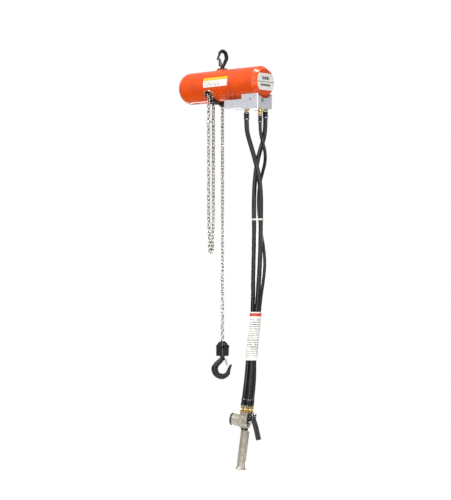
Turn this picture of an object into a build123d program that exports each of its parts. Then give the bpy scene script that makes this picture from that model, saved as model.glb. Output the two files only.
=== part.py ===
from build123d import *
import os
from math import atan2, cos, degrees, pi, radians, sin, sqrt, tan

# Pneumatic pendant chain hoist, millimetres.
# Origin: the centre of the top hook's bowl, which is also on the line of the load chain.
# +X runs along the body towards the motor end, -Y is the front (chain port and nameplate), +Z is up.

# ---------------------------------------------------------------- driving dimensions
# load chain, 4 x 12 round steel link chain
CHAIN_WIRE = 4.0
CHAIN_PITCH = 12.0
CHAIN_WIDTH = 13.5
CHAIN_PLAY = 0.10
WHEEL_POCKETS = 6
SEGMENT_LINKS = 18
SEGMENTS = 4
END_LINKS = 2
SLACK_LINKS = 36
LOOP_HALF_LINKS = 10
BIGHT_R = 7.0
STOP_BELOW_PIN = 92.0
STOP_SIZE = (11.0, 17.0, 10.0)

# body tube
BODY_R = 54.0
BODY_WALL = 7.0
BODY_TOP_DROP = 49.5
GEAR_END_X = -152.0
GEAR_SEAM_X = -25.0
MOTOR_SEAM_X = 99.0
SEAM_RING_WIDTH = 2.0
SEAM_RING_PROUD = 0.6
MOTOR_END_X = 214.0
GEAR_END_FILLET = 34.0
MOTOR_SHOULDER_LENGTH = 17.0
MOTOR_END_R = 44.5
SPIGOT_LENGTH = 8.0
SPIGOT_R = 50.0
NAMEPLATE_X = 35.0
NAMEPLATE_ANGLE = 170.25
NAMEPLATE_LENGTH = 108.0
NAMEPLATE_WIDTH = 32.4
NAMEPLATE_THICK = 0.5
END_PLATE_R = 42.1
END_PLATE_HEIGHT = 56.0
END_PLATE_PROUD = 0.6

# suspension
BOSS_R = 22.0
BOSS_PROUD = 4.5
BOSS_ROOF = 9.0
COLLAR_R = 17.0
COLLAR_HEIGHT = 5.4
COLLAR_STEP = 1.0
SHANK_R = 6.0
NUT_R = 11.0
NUT_HEIGHT = 9.0

# wheel chamber and lift wheel
CHAMBER_HALF = 16.0
WHEEL_HALF = 13.0
WHEEL_HUB_R = 11.0
WHEEL_BORE_R = 6.0
WHEEL_RIM_OVER_PITCH = 5.5
WHEEL_BEARING_R = 17.0
WHEEL_BEARING_WIDTH = 7.0

# gear train, two equal stages on one centre distance
GEAR_MODULE = 0.8
PINION_TEETH = 16
GEAR_TEETH = 40
STAGE_ONE_X = (-54.0, -46.0)
STAGE_TWO_X = (-38.0, -28.0)
OUTPUT_STUB_R = 9.0
COUNTERSHAFT_R = 3.0
GEAR_PLATE_X = (-70.0, -62.0)
POST_R = 4.0
POST_CIRCLE_R = 41.0
POST_ANGLES = (70.0, 110.0, 250.0, 290.0)

# motor and brake
SHAFT_R = 5.0
SHAFT_END_X = -79.0
MOTOR_SHOULDER_X = 34.0
END_PLATE_THICK = 10.0
LINER_LENGTH = 60.0
LINER_R = 44.0
LINER_BORE_R = 30.0
ROTOR_OFFSET = 4.0
ROTOR_GAP = 0.3
VANES = 6
VANE_THICK = 3.0
VANE_DEPTH = 11.0
MOTOR_BEARING_R = 13.0
MOTOR_BEARING_WIDTH = 8.0
BRAKE_BORE_R = 42.0
BRAKE_DISC_R = 34.0
BRAKE_DISC_THICK = 5.8
BRAKE_GAP = 0.2
PISTON_THICK = 15.7
BRAKE_CHAMBER_END_X = -112.5
DISC_SPRINGS = 4

# slack chain port
PORT_ANGLE = 34.0
PORT_BORE_R = 15.0
PORT_RING_R = 18.0
PORT_RING_PROUD = 5.0
PORT_RING_DEPTH = 4.0
ANCHOR_PIN_R = 2.0
ANCHOR_INSET = 3.0

# chain guide and limit lever
GUIDE_HALF_X = 13.0
GUIDE_OVERHANG = 13.0
GUIDE_BELOW = 1.5
CHAIN_PASSAGE_R = 8.0
LEVER_GAP = 3.0
LEVER_PLATE_THICK = 3.0
LEVER_SHAFT_R = 3.0
LEVER_REACH = 12.0

# valve manifold
MANIFOLD_LEFT_X = 61.0
MANIFOLD_STEP_X = 138.0
MANIFOLD_RIGHT_X = 211.0
MANIFOLD_FRONT = 37.2
MANIFOLD_BACK = 37.8
SLAB_GAP = 1.0
SLAB_THICK = 27.0
BLOCK_RISE = 20.5
INLET_R = 5.9
INLET_DEPTH = 14.0
INLET_X = 178.0
INLET_DROP = 2.7
EXHAUST_R = 7.0
SPOOL_R = 5.0
SPOOL_WAIST_R = 3.0
SPOOL_GROOVE = 9.0
SPOOL_GROOVES = (25.0, 42.0, 59.0)

# hook block and load hook
BLOCK_HALF_X = 17.0
BLOCK_HALF_Y = 18.0
BLOCK_HEIGHT = 52.0
BLOCK_TOP_OVER_PIN = 21.0
BLOCK_CHAMFER = 13.0
BLOCK_CORNER = 7.0
BLOCK_TOP_SIZE = 20.0
CHAIN_PIN_R = 2.5
BLOCK_FLOOR = 10.0
THRUST_HEIGHT = 4.0
HOOK_YAW = 42.0
LOAD_BOWL_R = 15.3
LOAD_BACK_D = 23.0
LOAD_SHANK_D = 14.0
TOP_BOWL_R = 14.0
TOP_BACK_D = 13.5
TOP_SHANK_D = 12.6
LATCH_LUG = 7.0
LATCH_PIN_R = 1.5
LATCH_CHEEK = 1.3

# hoses, in a vertical frame turned about Z: (along, across, height)
HANG_YAW = 42.0
SUPPLY_HOSE_D = 15.5
RAISE_HOSE_D = 15.0
LOWER_HOSE_D = 11.0
FERRULE_WALL = 1.6
FITTING_HEX = 10.0
TIE_HEIGHT = -560.0
TIE_WIDTH = 5.0
TIE_THICK = 1.4
TIE_SLACK = 1.0
SLEEVE_TOP = (111.2, -139.4, -868.0)
SLEEVE_BOTTOM = (95.8, -139.4, -1029.0)
SLEEVE_WIDTH = 39.2
SLEEVE_DEPTH = 30.4
SLEEVE_WALL = 0.8

# pendant handle
PENDANT_HEAD = (61.0, -139.0, -1229.0)
PENDANT_LEAN = 7.0
PENDANT_YAW = 20.0
HEAD_LEFT = -28.0
HEAD_RIGHT = 30.0
HEAD_SMALL_R = 21.0
HEAD_LARGE_R = 24.5
CAP_THICK = 5.0
PAD_HEIGHT = 28.0
GRIP_R = 14.5
GRIP_OFFSET = 20.8
GRIP_NECK_TOP = -26.0
GRIP_NECK_DEEP = 4.0
GRIP_BOTTOM = -152.0
FOOT_R = 20.0
FOOT_THICK = 11.0
LEVER_PIVOT = (40.0, 20.0)
LEVER_PIN_R = 2.5
LEVER_SPLAY = 23.0
LEVER_LENGTH = 82.0
LEVER_THICK = 5.4
LEVER_WIDE = 15.6
LEVER_SPREAD = 11.5
LEVER_HUB_R = 5.5
LUG_SIDE_THICK = 3.0
LUG_MIDDLE_THICK = 6.0
LUG_HEIGHT = 13.0
PLUNGER_R = 4.0
PLUNGER_TIP = 44.6

# fits
RUNNING_FIT = 0.06
SLIDE_FIT = 0.05
OPEN_GAP = 0.4

# ---------------------------------------------------------------- derived places
CHAIN_R = CHAIN_WIRE / 2
HALF_POCKET = radians(90.0 / WHEEL_POCKETS)
WHEEL_PITCH_R = 0.5 * sqrt((CHAIN_PITCH / sin(HALF_POCKET)) ** 2 + (CHAIN_WIRE / cos(HALF_POCKET)) ** 2)
WHEEL_R = WHEEL_PITCH_R + WHEEL_RIM_OVER_PITCH
AXIS_Y = -WHEEL_PITCH_R
AXIS_Z = -BODY_TOP_DROP - BODY_R
SLACK_Y = AXIS_Y - WHEEL_PITCH_R
INNER_R = BODY_R - BODY_WALL
BODY_BOTTOM_Z = AXIS_Z - BODY_R
CENTRE_DISTANCE = GEAR_MODULE * (PINION_TEETH + GEAR_TEETH) / 2
LOAD_LINKS = SEGMENT_LINKS * SEGMENTS + END_LINKS
CHAIN_END_Z = AXIS_Z - CHAIN_PITCH * LOAD_LINKS
CHAIN_PIN_Z = CHAIN_END_Z - CHAIN_PITCH / 2 - CHAIN_PLAY + CHAIN_PIN_R
BLOCK_TOP_Z = CHAIN_PIN_Z + BLOCK_TOP_OVER_PIN
BLOCK_BOTTOM_Z = BLOCK_TOP_Z - BLOCK_HEIGHT
LOAD_BOWL_Z = BLOCK_BOTTOM_Z - 2.85 * LOAD_BOWL_R
BOSS_TOP_Z = AXIS_Z + BODY_R + BOSS_PROUD
END_PLATE_ONE_X = (MOTOR_SHOULDER_X, MOTOR_SHOULDER_X + END_PLATE_THICK)
LINER_X = (END_PLATE_ONE_X[1], END_PLATE_ONE_X[1] + LINER_LENGTH)
END_PLATE_TWO_X = (LINER_X[1], LINER_X[1] + END_PLATE_THICK)
ROTOR_R = LINER_BORE_R - ROTOR_OFFSET - ROTOR_GAP
LEVER_TOP_Z = BODY_BOTTOM_Z - GUIDE_BELOW - LEVER_GAP
MANIFOLD_BOTTOM_Z = AXIS_Z - BODY_R - SLAB_GAP - SLAB_THICK - 7.0
PORT_PIN_R = BODY_R + PORT_RING_PROUD - ANCHOR_INSET
PORT_PIN_Y = AXIS_Y - PORT_PIN_R * cos(radians(PORT_ANGLE))
PORT_PIN_Z = AXIS_Z - PORT_PIN_R * sin(radians(PORT_ANGLE))
STANDING_TOP_Z = PORT_PIN_Z + ANCHOR_PIN_R - CHAIN_PITCH / 2 - CHAIN_PLAY
STANDING_LINKS = SLACK_LINKS - round((AXIS_Z - STANDING_TOP_Z) / CHAIN_PITCH) + 1


def tube_x(radius, x0, x1, y=AXIS_Y, z=AXIS_Z):
    """A cylinder along X, on the body axis unless another line is given."""
    return Pos((x0 + x1) / 2, y, z) * Rot(0, 90, 0) * Cylinder(radius, abs(x1 - x0))


def tube_z(radius, z0, z1, x=0.0, y=0.0):
    """A cylinder along Z."""
    return Pos(x, y, (z0 + z1) / 2) * Cylinder(radius, abs(z1 - z0))


def block(x0, x1, y0, y1, z0, z1):
    """A box between two corners."""
    return Pos((x0 + x1) / 2, (y0 + y1) / 2, (z0 + z1) / 2) * Box(x1 - x0, y1 - y0, z1 - z0)


def hexagon_z(flats, z0, z1, x=0.0, y=0.0):
    """A hexagonal bar along Z, given its size across flats."""
    return Pos(x, y, min(z0, z1)) * extrude(RegularPolygon(flats / sqrt(3), 6), abs(z1 - z0))


def write(name, shape):
    """Write one node, naming its solids."""
    solids = shape.solids()
    whole = solids[0] if len(solids) == 1 else Compound(children=list(solids))
    whole.label = name
    export_step(whole, f"parts/{name}.step")


def group(shapes):
    """Separate solids kept as one group."""
    return Compound(children=[solid for shape in shapes for solid in shape.solids()])


def to_world(point):
    """A point of the hoses' turned frame, in the object's frame."""
    along, across, height = point
    yaw = radians(HANG_YAW)
    return (along * cos(yaw) - across * sin(yaw), along * sin(yaw) + across * cos(yaw), height)


# ---------------------------------------------------------------- chain
def chain_link():
    """One link, long along Z and flat in the YZ plane, centred on the origin."""
    half_width = (CHAIN_WIDTH - CHAIN_WIRE) / 2
    straight = CHAIN_PITCH / 2 + CHAIN_R + CHAIN_PLAY - half_width
    side_a = tube_z(CHAIN_R, -straight, straight, 0, half_width)
    side_b = tube_z(CHAIN_R, -straight, straight, 0, -half_width)
    bow_profile = Plane.XY * Pos(0, half_width) * Circle(CHAIN_R)
    bow = revolve(bow_profile, Axis.X, 180)
    top = Pos(0, 0, straight) * bow
    bottom = Pos(0, 0, -straight) * Rot(180, 0, 0) * bow
    return side_a + side_b + top + bottom


LINK = chain_link()


def place_link(y, z, lean, flat):
    """The link at (0, y, z), its length turned by lean degrees about X, flat ones turned a quarter."""
    quarter = 90 if flat else 0
    return Pos(0, y, z) * Rot(lean, 0, 0) * Rot(0, 0, quarter) * LINK


def load_segment(first, last):
    """Links first to last of the load strand, counted down from the wheel's axis."""
    return [place_link(0, AXIS_Z - CHAIN_PITCH * k, 0, k % 2 == 1) for k in range(first, last + 1)]


def wheel_links():
    """Links lying over the lift wheel, from the load side to the slack side."""
    step = 360.0 / (2 * WHEEL_POCKETS)
    links = []
    for k in range(WHEEL_POCKETS + 1):
        turn = radians(step * k)
        y = AXIS_Y + WHEEL_PITCH_R * cos(turn)
        z = AXIS_Z + WHEEL_PITCH_R * sin(turn)
        links.append(place_link(y, z, step * k, k % 2 == 1))
    return links


def slack_strands():
    """Running strand down from the wheel and standing strand down from its anchor."""
    running = []
    for k in range(1, SLACK_LINKS + 1):
        running.append(place_link(SLACK_Y, AXIS_Z - CHAIN_PITCH * k, 0, k % 2 == 1))
    standing = []
    for k in range(STANDING_LINKS):
        standing.append(place_link(PORT_PIN_Y, STANDING_TOP_Z - CHAIN_PITCH * k, 0, k % 2 == 1))
    return running, standing


def loop_route():
    """Route of the slack loop's bight: two strands that draw together and a round turn."""
    running_end = AXIS_Z - CHAIN_PITCH * (SLACK_LINKS + 0.5)
    standing_end = STANDING_TOP_Z - CHAIN_PITCH * (STANDING_LINKS - 0.5)
    middle = (SLACK_Y + PORT_PIN_Y) / 2
    low = min(running_end, standing_end) - CHAIN_PITCH * LOOP_HALF_LINKS
    start = (0, SLACK_Y, running_end)
    turn_in = (0, middle + BIGHT_R, low)
    bottom = (0, middle, low - BIGHT_R)
    turn_out = (0, middle - BIGHT_R, low)
    end = (0, PORT_PIN_Y, standing_end)
    down = Spline([start, turn_in], tangents=[(0, 0, -1), (0, 0, -1)])
    bight = ThreePointArc(turn_in, bottom, turn_out)
    up = Spline([turn_out, end], tangents=[(0, 0, 1), (0, 0, 1)])
    return Wire([down, bight, up])


def loop_links():
    """Links along the bight, evenly spaced at about one pitch."""
    route = loop_route()
    count = round(route.length / CHAIN_PITCH)
    links = []
    for k in range(count):
        share = (k + 0.5) / count
        place = route.position_at(share)
        ahead = route.tangent_at(share)
        lean = degrees(atan2(ahead.Z, ahead.Y)) + 90
        links.append(place_link(place.Y, place.Z, lean, (SLACK_LINKS + 1 + k) % 2 == 1))
    return links


def build_chain():
    """The load chain in the pieces that the lift motion needs."""
    running, standing = slack_strands()
    upper = load_segment(1, SEGMENT_LINKS) + wheel_links() + running + standing
    write("upper_chain", group(upper))
    for segment in range(2, SEGMENTS + 1):
        first = SEGMENT_LINKS * (segment - 1) + 1
        last = SEGMENT_LINKS * segment + (END_LINKS if segment == SEGMENTS else 0)
        write(f"load_chain_{segment}", group(load_segment(first, last)))
    write("slack_loop", group(loop_links()))
    stop_z = PORT_PIN_Z - STOP_BELOW_PIN
    cheek = Pos(0, PORT_PIN_Y, stop_z) * Box(*STOP_SIZE)
    room = Pos(0, PORT_PIN_Y, stop_z) * Box(CHAIN_WIDTH + 2, CHAIN_WIRE + 0.8, 12)
    room += Pos(0, PORT_PIN_Y, stop_z) * Box(CHAIN_WIRE + 0.8, CHAIN_WIDTH + 1, 12)
    bolt = Pos(0, PORT_PIN_Y - 10.5, stop_z) * Rot(90, 0, 0) * Cylinder(2.6, 4.0)
    write("chain_stop", fillet(cheek.edges().filter_by(Axis.Z), 2.0) - room + bolt)


# ---------------------------------------------------------------- body shells
def port_axis_cylinder(radius, from_r, to_r):
    """A cylinder on the slack port's axis, between two distances from the body axis."""
    middle = (from_r + to_r) / 2
    spin = Rot(90 + PORT_ANGLE, 0, 0)
    return Pos(0, AXIS_Y, AXIS_Z) * spin * Pos(0, 0, middle) * Cylinder(radius, to_r - from_r)


def build_housing():
    """Middle housing: wheel chamber, bearing webs, suspension boss and slack port."""
    shell = tube_x(BODY_R, GEAR_SEAM_X, MOTOR_SEAM_X)
    shell += tube_z(BOSS_R, AXIS_Z, BOSS_TOP_Z)
    shell += tube_x(SPIGOT_R, GEAR_SEAM_X - SPIGOT_LENGTH, GEAR_SEAM_X)
    shell += tube_x(SPIGOT_R, MOTOR_SEAM_X, MOTOR_SEAM_X + SPIGOT_LENGTH)
    shell -= tube_x(INNER_R, GEAR_SEAM_X - SPIGOT_LENGTH, GEAR_SEAM_X)
    shell -= tube_x(INNER_R, -CHAMBER_HALF, CHAMBER_HALF)
    shell -= tube_x(BRAKE_BORE_R, -GEAR_SEAM_X, MOTOR_SHOULDER_X)
    shell -= tube_x(INNER_R, MOTOR_SHOULDER_X, MOTOR_SEAM_X + SPIGOT_LENGTH)
    shell -= tube_x(WHEEL_BEARING_R, GEAR_SEAM_X, GEAR_SEAM_X + WHEEL_BEARING_WIDTH)
    shell -= tube_x(WHEEL_BEARING_R, -GEAR_SEAM_X - WHEEL_BEARING_WIDTH, -GEAR_SEAM_X)
    shell -= tube_x(WHEEL_HUB_R + 2, GEAR_SEAM_X, -GEAR_SEAM_X)
    for side in (-1, 1):
        y = AXIS_Y + side * CENTRE_DISTANCE
        shell -= tube_x(COUNTERSHAFT_R + RUNNING_FIT, GEAR_SEAM_X, GEAR_SEAM_X + 5, y, AXIS_Z)
    for y in (0.0, SLACK_Y):
        shell -= block(-10, 10, y - 10, y + 10, BODY_BOTTOM_Z - 1, AXIS_Z - 30)
    shell -= port_axis_cylinder(PORT_BORE_R, 38, BODY_R + 6)
    shell -= port_axis_cylinder(PORT_RING_R, BODY_R - PORT_RING_DEPTH, BODY_R + 6)
    shell -= tube_z(SHANK_R + RUNNING_FIT, AXIS_Z, BOSS_TOP_Z)
    shell -= tube_z(NUT_R + 1.0, AXIS_Z, BOSS_TOP_Z - BOSS_ROOF)
    for angle in POST_ANGLES:
        y = AXIS_Y + POST_CIRCLE_R * cos(radians(angle))
        z = AXIS_Z + POST_CIRCLE_R * sin(radians(angle))
        shell -= tube_x(2.0, GEAR_SEAM_X, GEAR_SEAM_X + 7, y, z)
    for cut in radial_screws():
        shell -= cut
    write("lift_housing", shell)


def radial_screw(x, angle, head_r=4.2, sink=1.0):
    """A countersunk radial screw at the surface of the body."""
    spin = Pos(x, AXIS_Y, AXIS_Z) * Rot(angle - 90, 0, 0)
    head = Pos(0, 0, BODY_R - sink - 1.5) * Cylinder(head_r, 3.0)
    stem = Pos(0, 0, BODY_R - 3.9) * Cylinder(2.0, 5.6)
    return spin * (head + stem)


def radial_screws():
    """Screws through the covers' rims into the spigots, and the oil plug on the housing."""
    screws = []
    for x in (GEAR_SEAM_X - SPIGOT_LENGTH / 2, MOTOR_SEAM_X + SEAM_RING_WIDTH + 3.2):
        for angle in (50.0, 140.0, 230.0, 320.0):
            screws.append(radial_screw(x, angle, 2.6))
    screws.append(radial_screw(-5.0, 117.0))
    return screws


def build_covers():
    """Gear cover, motor cover and the bright ring between motor cover and housing."""
    gear = tube_x(BODY_R, GEAR_END_X, GEAR_SEAM_X)
    gear = fillet(gear.edges().filter_by(GeomType.CIRCLE).sort_by(Axis.X)[0], GEAR_END_FILLET)
    gear -= tube_x(SPIGOT_R, GEAR_SEAM_X - SPIGOT_LENGTH, GEAR_SEAM_X)
    gear -= tube_x(INNER_R, GEAR_PLATE_X[0], GEAR_SEAM_X)
    gear -= tube_x(BRAKE_BORE_R, BRAKE_CHAMBER_END_X, GEAR_PLATE_X[0])
    front_x = MOTOR_SEAM_X + SEAM_RING_WIDTH
    shoulder_x = MOTOR_END_X - MOTOR_SHOULDER_LENGTH
    profile = Polyline(
        (front_x, 0),
        (front_x, BODY_R),
        (shoulder_x, BODY_R),
        (MOTOR_END_X - 2.5, MOTOR_END_R + 0.8),
        (MOTOR_END_X, MOTOR_END_R - 2.2),
        (MOTOR_END_X, 0),
        close=True,
    )
    motor = Pos(0, AXIS_Y, AXIS_Z) * revolve(make_face(profile), Axis.X, 360)
    motor -= tube_x(INNER_R, front_x, shoulder_x - 4)
    motor -= tube_x(SPIGOT_R, front_x, MOTOR_SEAM_X + SPIGOT_LENGTH)
    motor -= tube_z(6.0, BODY_BOTTOM_Z - 1, AXIS_Z - 30, MANIFOLD_STEP_X + 30, AXIS_Y)
    for x in manifold_screw_x():
        for y in manifold_screw_y():
            motor -= tube_z(2.5, BODY_BOTTOM_Z, BODY_BOTTOM_Z + 32, x, y)
    for cut in radial_screws()[:4]:
        gear -= cut
    for cut in radial_screws()[4:8]:
        motor -= cut
    write("gear_cover", gear)
    write("motor_cover", motor)
    ring = tube_x(BODY_R + SEAM_RING_PROUD, MOTOR_SEAM_X, front_x) - tube_x(SPIGOT_R, MOTOR_SEAM_X, front_x)
    write("seam_ring", ring)


def build_screws():
    """Every screw of the body: cover screws, oil plug, gear plate screws and manifold screws."""
    screws = radial_screws()
    for angle in POST_ANGLES:
        y = AXIS_Y + POST_CIRCLE_R * cos(radians(angle))
        z = AXIS_Z + POST_CIRCLE_R * sin(radians(angle))
        stem = tube_x(2.0, GEAR_PLATE_X[0] + 4, GEAR_SEAM_X + 6.5, y, z)
        screws.append(stem + tube_x(3.4, GEAR_PLATE_X[0] + 0.3, GEAR_PLATE_X[0] + 4, y, z))
    for x in manifold_screw_x():
        for y in manifold_screw_y():
            stem = tube_z(2.5, MANIFOLD_BOTTOM_Z + 5, AXIS_Z - BODY_R + 9.0, x, y)
            head = tube_z(4.3, MANIFOLD_BOTTOM_Z + 0.2, MANIFOLD_BOTTOM_Z + 5, x, y)
            screws.append(stem + head - hexagon_z(4, MANIFOLD_BOTTOM_Z, MANIFOLD_BOTTOM_Z + 3, x, y))
    plug = tube_x(SPOOL_R + 1.5, MANIFOLD_LEFT_X - 2, MANIFOLD_LEFT_X + 6, spool_y(), spool_z())
    screws.append(plug)
    write("housing_screws", group(screws))


# ---------------------------------------------------------------- plates on the body
def build_labels():
    """The curved nameplate on the housing and the flat plate on the motor end, both blank."""
    span = (NAMEPLATE_X - NAMEPLATE_LENGTH / 2, NAMEPLATE_X + NAMEPLATE_LENGTH / 2)
    plate = tube_x(BODY_R + NAMEPLATE_THICK, *span) - tube_x(BODY_R, *span)
    turn = Rot(NAMEPLATE_ANGLE - 90, 0, 0)
    cutter = Pos(0, 0, BODY_R) * Box(NAMEPLATE_LENGTH, NAMEPLATE_WIDTH, 24)
    window = Pos(NAMEPLATE_X, AXIS_Y, AXIS_Z) * turn * cutter
    nameplate = plate & window
    end = tube_x(END_PLATE_R, MOTOR_END_X, MOTOR_END_X + END_PLATE_PROUD)
    end &= Pos(MOTOR_END_X, AXIS_Y, AXIS_Z) * Box(4, 3 * END_PLATE_R, END_PLATE_HEIGHT)
    write("label_plates", group([nameplate, end]))


# ---------------------------------------------------------------- gear train
def spur_gear(teeth, x0, x1, y, z, tooth_at):
    """A spur gear along X with straight-sided teeth, one of them at the angle tooth_at."""
    pitch_r = GEAR_MODULE * teeth / 2
    root_r = pitch_r - 1.2 * GEAR_MODULE
    tip_r = pitch_r + 0.75 * GEAR_MODULE
    step = 360.0 / teeth
    root_half = 0.27 * step
    tip_half = 0.10 * step
    points = []
    for tooth in range(teeth):
        centre = tooth_at + step * tooth
        corners = ((root_r, -root_half), (tip_r, -tip_half), (tip_r, tip_half), (root_r, root_half))
        for radius, offset in corners:
            turn = radians(centre + offset)
            points.append((radius * cos(turn), radius * sin(turn)))
    face = make_face(Polyline(*points, close=True))
    bar = extrude(face, x1 - x0)
    return Pos(x0, y, z) * Plane((0, 0, 0), x_dir=(0, 1, 0), z_dir=(1, 0, 0)).location * bar


def build_gears():
    """Output gear, two countershafts and the plate that carries them."""
    output = spur_gear(GEAR_TEETH, *STAGE_TWO_X, AXIS_Y, AXIS_Z, 180.0 / GEAR_TEETH)
    write("output_gear", output - tube_x(OUTPUT_STUB_R, *STAGE_TWO_X))
    for index, side in enumerate((1, -1)):
        y = AXIS_Y + side * CENTRE_DISTANCE
        shaft = tube_x(COUNTERSHAFT_R, GEAR_PLATE_X[0] + 0.5, GEAR_SEAM_X + 4.5, y, AXIS_Z)
        shaft += spur_gear(GEAR_TEETH, *STAGE_ONE_X, y, AXIS_Z, 180.0 / GEAR_TEETH)
        shaft += spur_gear(PINION_TEETH, *STAGE_TWO_X, y, AXIS_Z, 0.0)
        shaft += tube_x(COUNTERSHAFT_R + 2, STAGE_ONE_X[1], STAGE_TWO_X[0], y, AXIS_Z)
        write(f"countershaft_{index + 1}", shaft)
    plate = tube_x(INNER_R - SLIDE_FIT, *GEAR_PLATE_X)
    plate -= tube_x(SHAFT_R + RUNNING_FIT, *GEAR_PLATE_X)
    for side in (-1, 1):
        plate -= tube_x(COUNTERSHAFT_R + RUNNING_FIT, *GEAR_PLATE_X, AXIS_Y + side * CENTRE_DISTANCE, AXIS_Z)
    for angle in POST_ANGLES:
        y = AXIS_Y + POST_CIRCLE_R * cos(radians(angle))
        z = AXIS_Z + POST_CIRCLE_R * sin(radians(angle))
        plate += tube_x(POST_R, GEAR_PLATE_X[1], GEAR_SEAM_X, y, z)
        plate -= tube_x(2.0, GEAR_PLATE_X[0], GEAR_SEAM_X, y, z)
        plate -= tube_x(3.5, GEAR_PLATE_X[0], GEAR_PLATE_X[0] + 4, y, z)
    write("gear_plate", plate)


def build_wheel():
    """Pocketed lift wheel with hubs, and the ball bearings of wheel and motor shaft."""
    wheel = tube_x(WHEEL_R, -WHEEL_HALF, WHEEL_HALF)
    wheel += tube_x(WHEEL_HUB_R, GEAR_SEAM_X - 1, -GEAR_SEAM_X)
    wheel += tube_x(OUTPUT_STUB_R, STAGE_TWO_X[0] - 0.5, GEAR_SEAM_X - 1)
    groove_half = CHAIN_R + OPEN_GAP
    groove = tube_x(WHEEL_R + 1, -groove_half, groove_half)
    groove -= tube_x(WHEEL_PITCH_R - CHAIN_WIDTH / 2 - OPEN_GAP, -groove_half, groove_half)
    wheel -= groove
    step = 360.0 / WHEEL_POCKETS
    for pocket in range(WHEEL_POCKETS):
        angle = step * (pocket + 0.5)
        length = CHAIN_PITCH + 2 * CHAIN_WIRE + 2 * OPEN_GAP
        width = CHAIN_WIDTH + 2 * OPEN_GAP
        seat = Box(width, WHEEL_RIM_OVER_PITCH + CHAIN_WIRE + 2, length)
        lift = (WHEEL_RIM_OVER_PITCH + CHAIN_WIRE + 2) / 2 - CHAIN_R - OPEN_GAP
        wheel -= Pos(0, AXIS_Y, AXIS_Z) * Rot(angle, 0, 0) * Pos(0, WHEEL_PITCH_R + lift, 0) * seat
        for side in (-1, 1):
            lead = Pos(0, side * WHEEL_PITCH_R, -CHAIN_PITCH) * Box(width, CHAIN_WIRE + 2 * OPEN_GAP, length)
            wheel -= Pos(0, AXIS_Y, AXIS_Z) * Rot(step * pocket, 0, 0) * lead
    wheel -= tube_x(WHEEL_BORE_R, STAGE_TWO_X[0] - 1, -GEAR_SEAM_X + 1)
    write("lift_wheel", wheel)


def ball_bearing(x0, x1, bore_r, outer_r):
    """Two rings and their balls, as separate solids."""
    middle = (bore_r + outer_r) / 2
    ball_r = 0.3 * (outer_r - bore_r)
    track = (x0 + x1) / 2
    inner = tube_x(middle - 0.6 * ball_r, x0, x1) - tube_x(bore_r, x0, x1)
    outer = tube_x(outer_r, x0, x1) - tube_x(middle + 0.6 * ball_r, x0, x1)
    torus = Pos(track, AXIS_Y, AXIS_Z) * Rot(0, 90, 0) * Torus(middle, ball_r + 0.1)
    balls = []
    for ball in range(8):
        turn = radians(45 * ball)
        balls.append(Pos(track, AXIS_Y + middle * cos(turn), AXIS_Z + middle * sin(turn)) * Sphere(ball_r))
    return [inner - torus, outer - torus] + balls


def build_bearings():
    """Bearings of the lift wheel and of the motor shaft."""
    hub_seat = WHEEL_HUB_R + RUNNING_FIT
    bearings = []
    for x1 in (GEAR_SEAM_X + WHEEL_BEARING_WIDTH, -GEAR_SEAM_X):
        bearings += ball_bearing(x1 - WHEEL_BEARING_WIDTH, x1, hub_seat, WHEEL_BEARING_R)
    for x1 in (END_PLATE_ONE_X[1], END_PLATE_TWO_X[0] + MOTOR_BEARING_WIDTH):
        bearings += ball_bearing(x1 - MOTOR_BEARING_WIDTH, x1, SHAFT_R + RUNNING_FIT, MOTOR_BEARING_R)
    write("ball_bearings", group(bearings))


# ---------------------------------------------------------------- motor and brake
def build_motor():
    """Vane air motor: shaft with pinion, rotor, vanes, liner and end plates."""
    shaft = tube_x(SHAFT_R, SHAFT_END_X, END_PLATE_TWO_X[1] - 1)
    shaft -= tube_x(SHAFT_R + 1, STAGE_ONE_X[0], STAGE_ONE_X[1])
    shaft += spur_gear(PINION_TEETH, *STAGE_ONE_X, AXIS_Y, AXIS_Z, 0.0)
    write("motor_shaft", shaft)
    rotor = tube_x(ROTOR_R, LINER_X[0] + ROTOR_GAP, LINER_X[1] - ROTOR_GAP)
    rotor -= tube_x(SHAFT_R, *LINER_X)
    vanes = []
    for vane in range(VANES):
        turn = Pos(0, AXIS_Y, AXIS_Z) * Rot(360.0 * vane / VANES, 0, 0)
        middle_x = (LINER_X[0] + LINER_X[1]) / 2
        slot_r = ROTOR_R - VANE_DEPTH / 2
        slot = Pos(middle_x, slot_r, 0) * Box(LINER_LENGTH, VANE_DEPTH + 1.0, VANE_THICK + 2 * SLIDE_FIT)
        rotor -= turn * slot
        blade = Pos(middle_x, slot_r - 0.2, 0) * Box(LINER_LENGTH - 1.0, VANE_DEPTH - 0.4, VANE_THICK)
        vanes.append(turn * blade)
    write("rotor", rotor)
    write("rotor_vanes", group(vanes))
    liner = tube_x(LINER_R, *LINER_X) - tube_x(LINER_BORE_R, *LINER_X, AXIS_Y, AXIS_Z + ROTOR_OFFSET)
    for x in (LINER_X[0] + 15, LINER_X[0] + 30, LINER_X[0] + 45):
        for side in (-1, 1):
            hole = Rot(side * 50, 0, 0) * Pos(0, 0, -37) * Cylinder(3.0, 26)
            liner -= Pos(x, AXIS_Y, AXIS_Z) * hole
    write("motor_liner", liner)
    plates = []
    for span, seat in (
        (END_PLATE_ONE_X, END_PLATE_ONE_X[1] - MOTOR_BEARING_WIDTH),
        (END_PLATE_TWO_X, END_PLATE_TWO_X[0]),
    ):
        plate = tube_x(INNER_R - SLIDE_FIT, *span) - tube_x(SHAFT_R + 1.5, *span)
        plates.append(plate - tube_x(MOTOR_BEARING_R, seat, seat + MOTOR_BEARING_WIDTH))
    write("motor_end_plates", group(plates))


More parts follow.
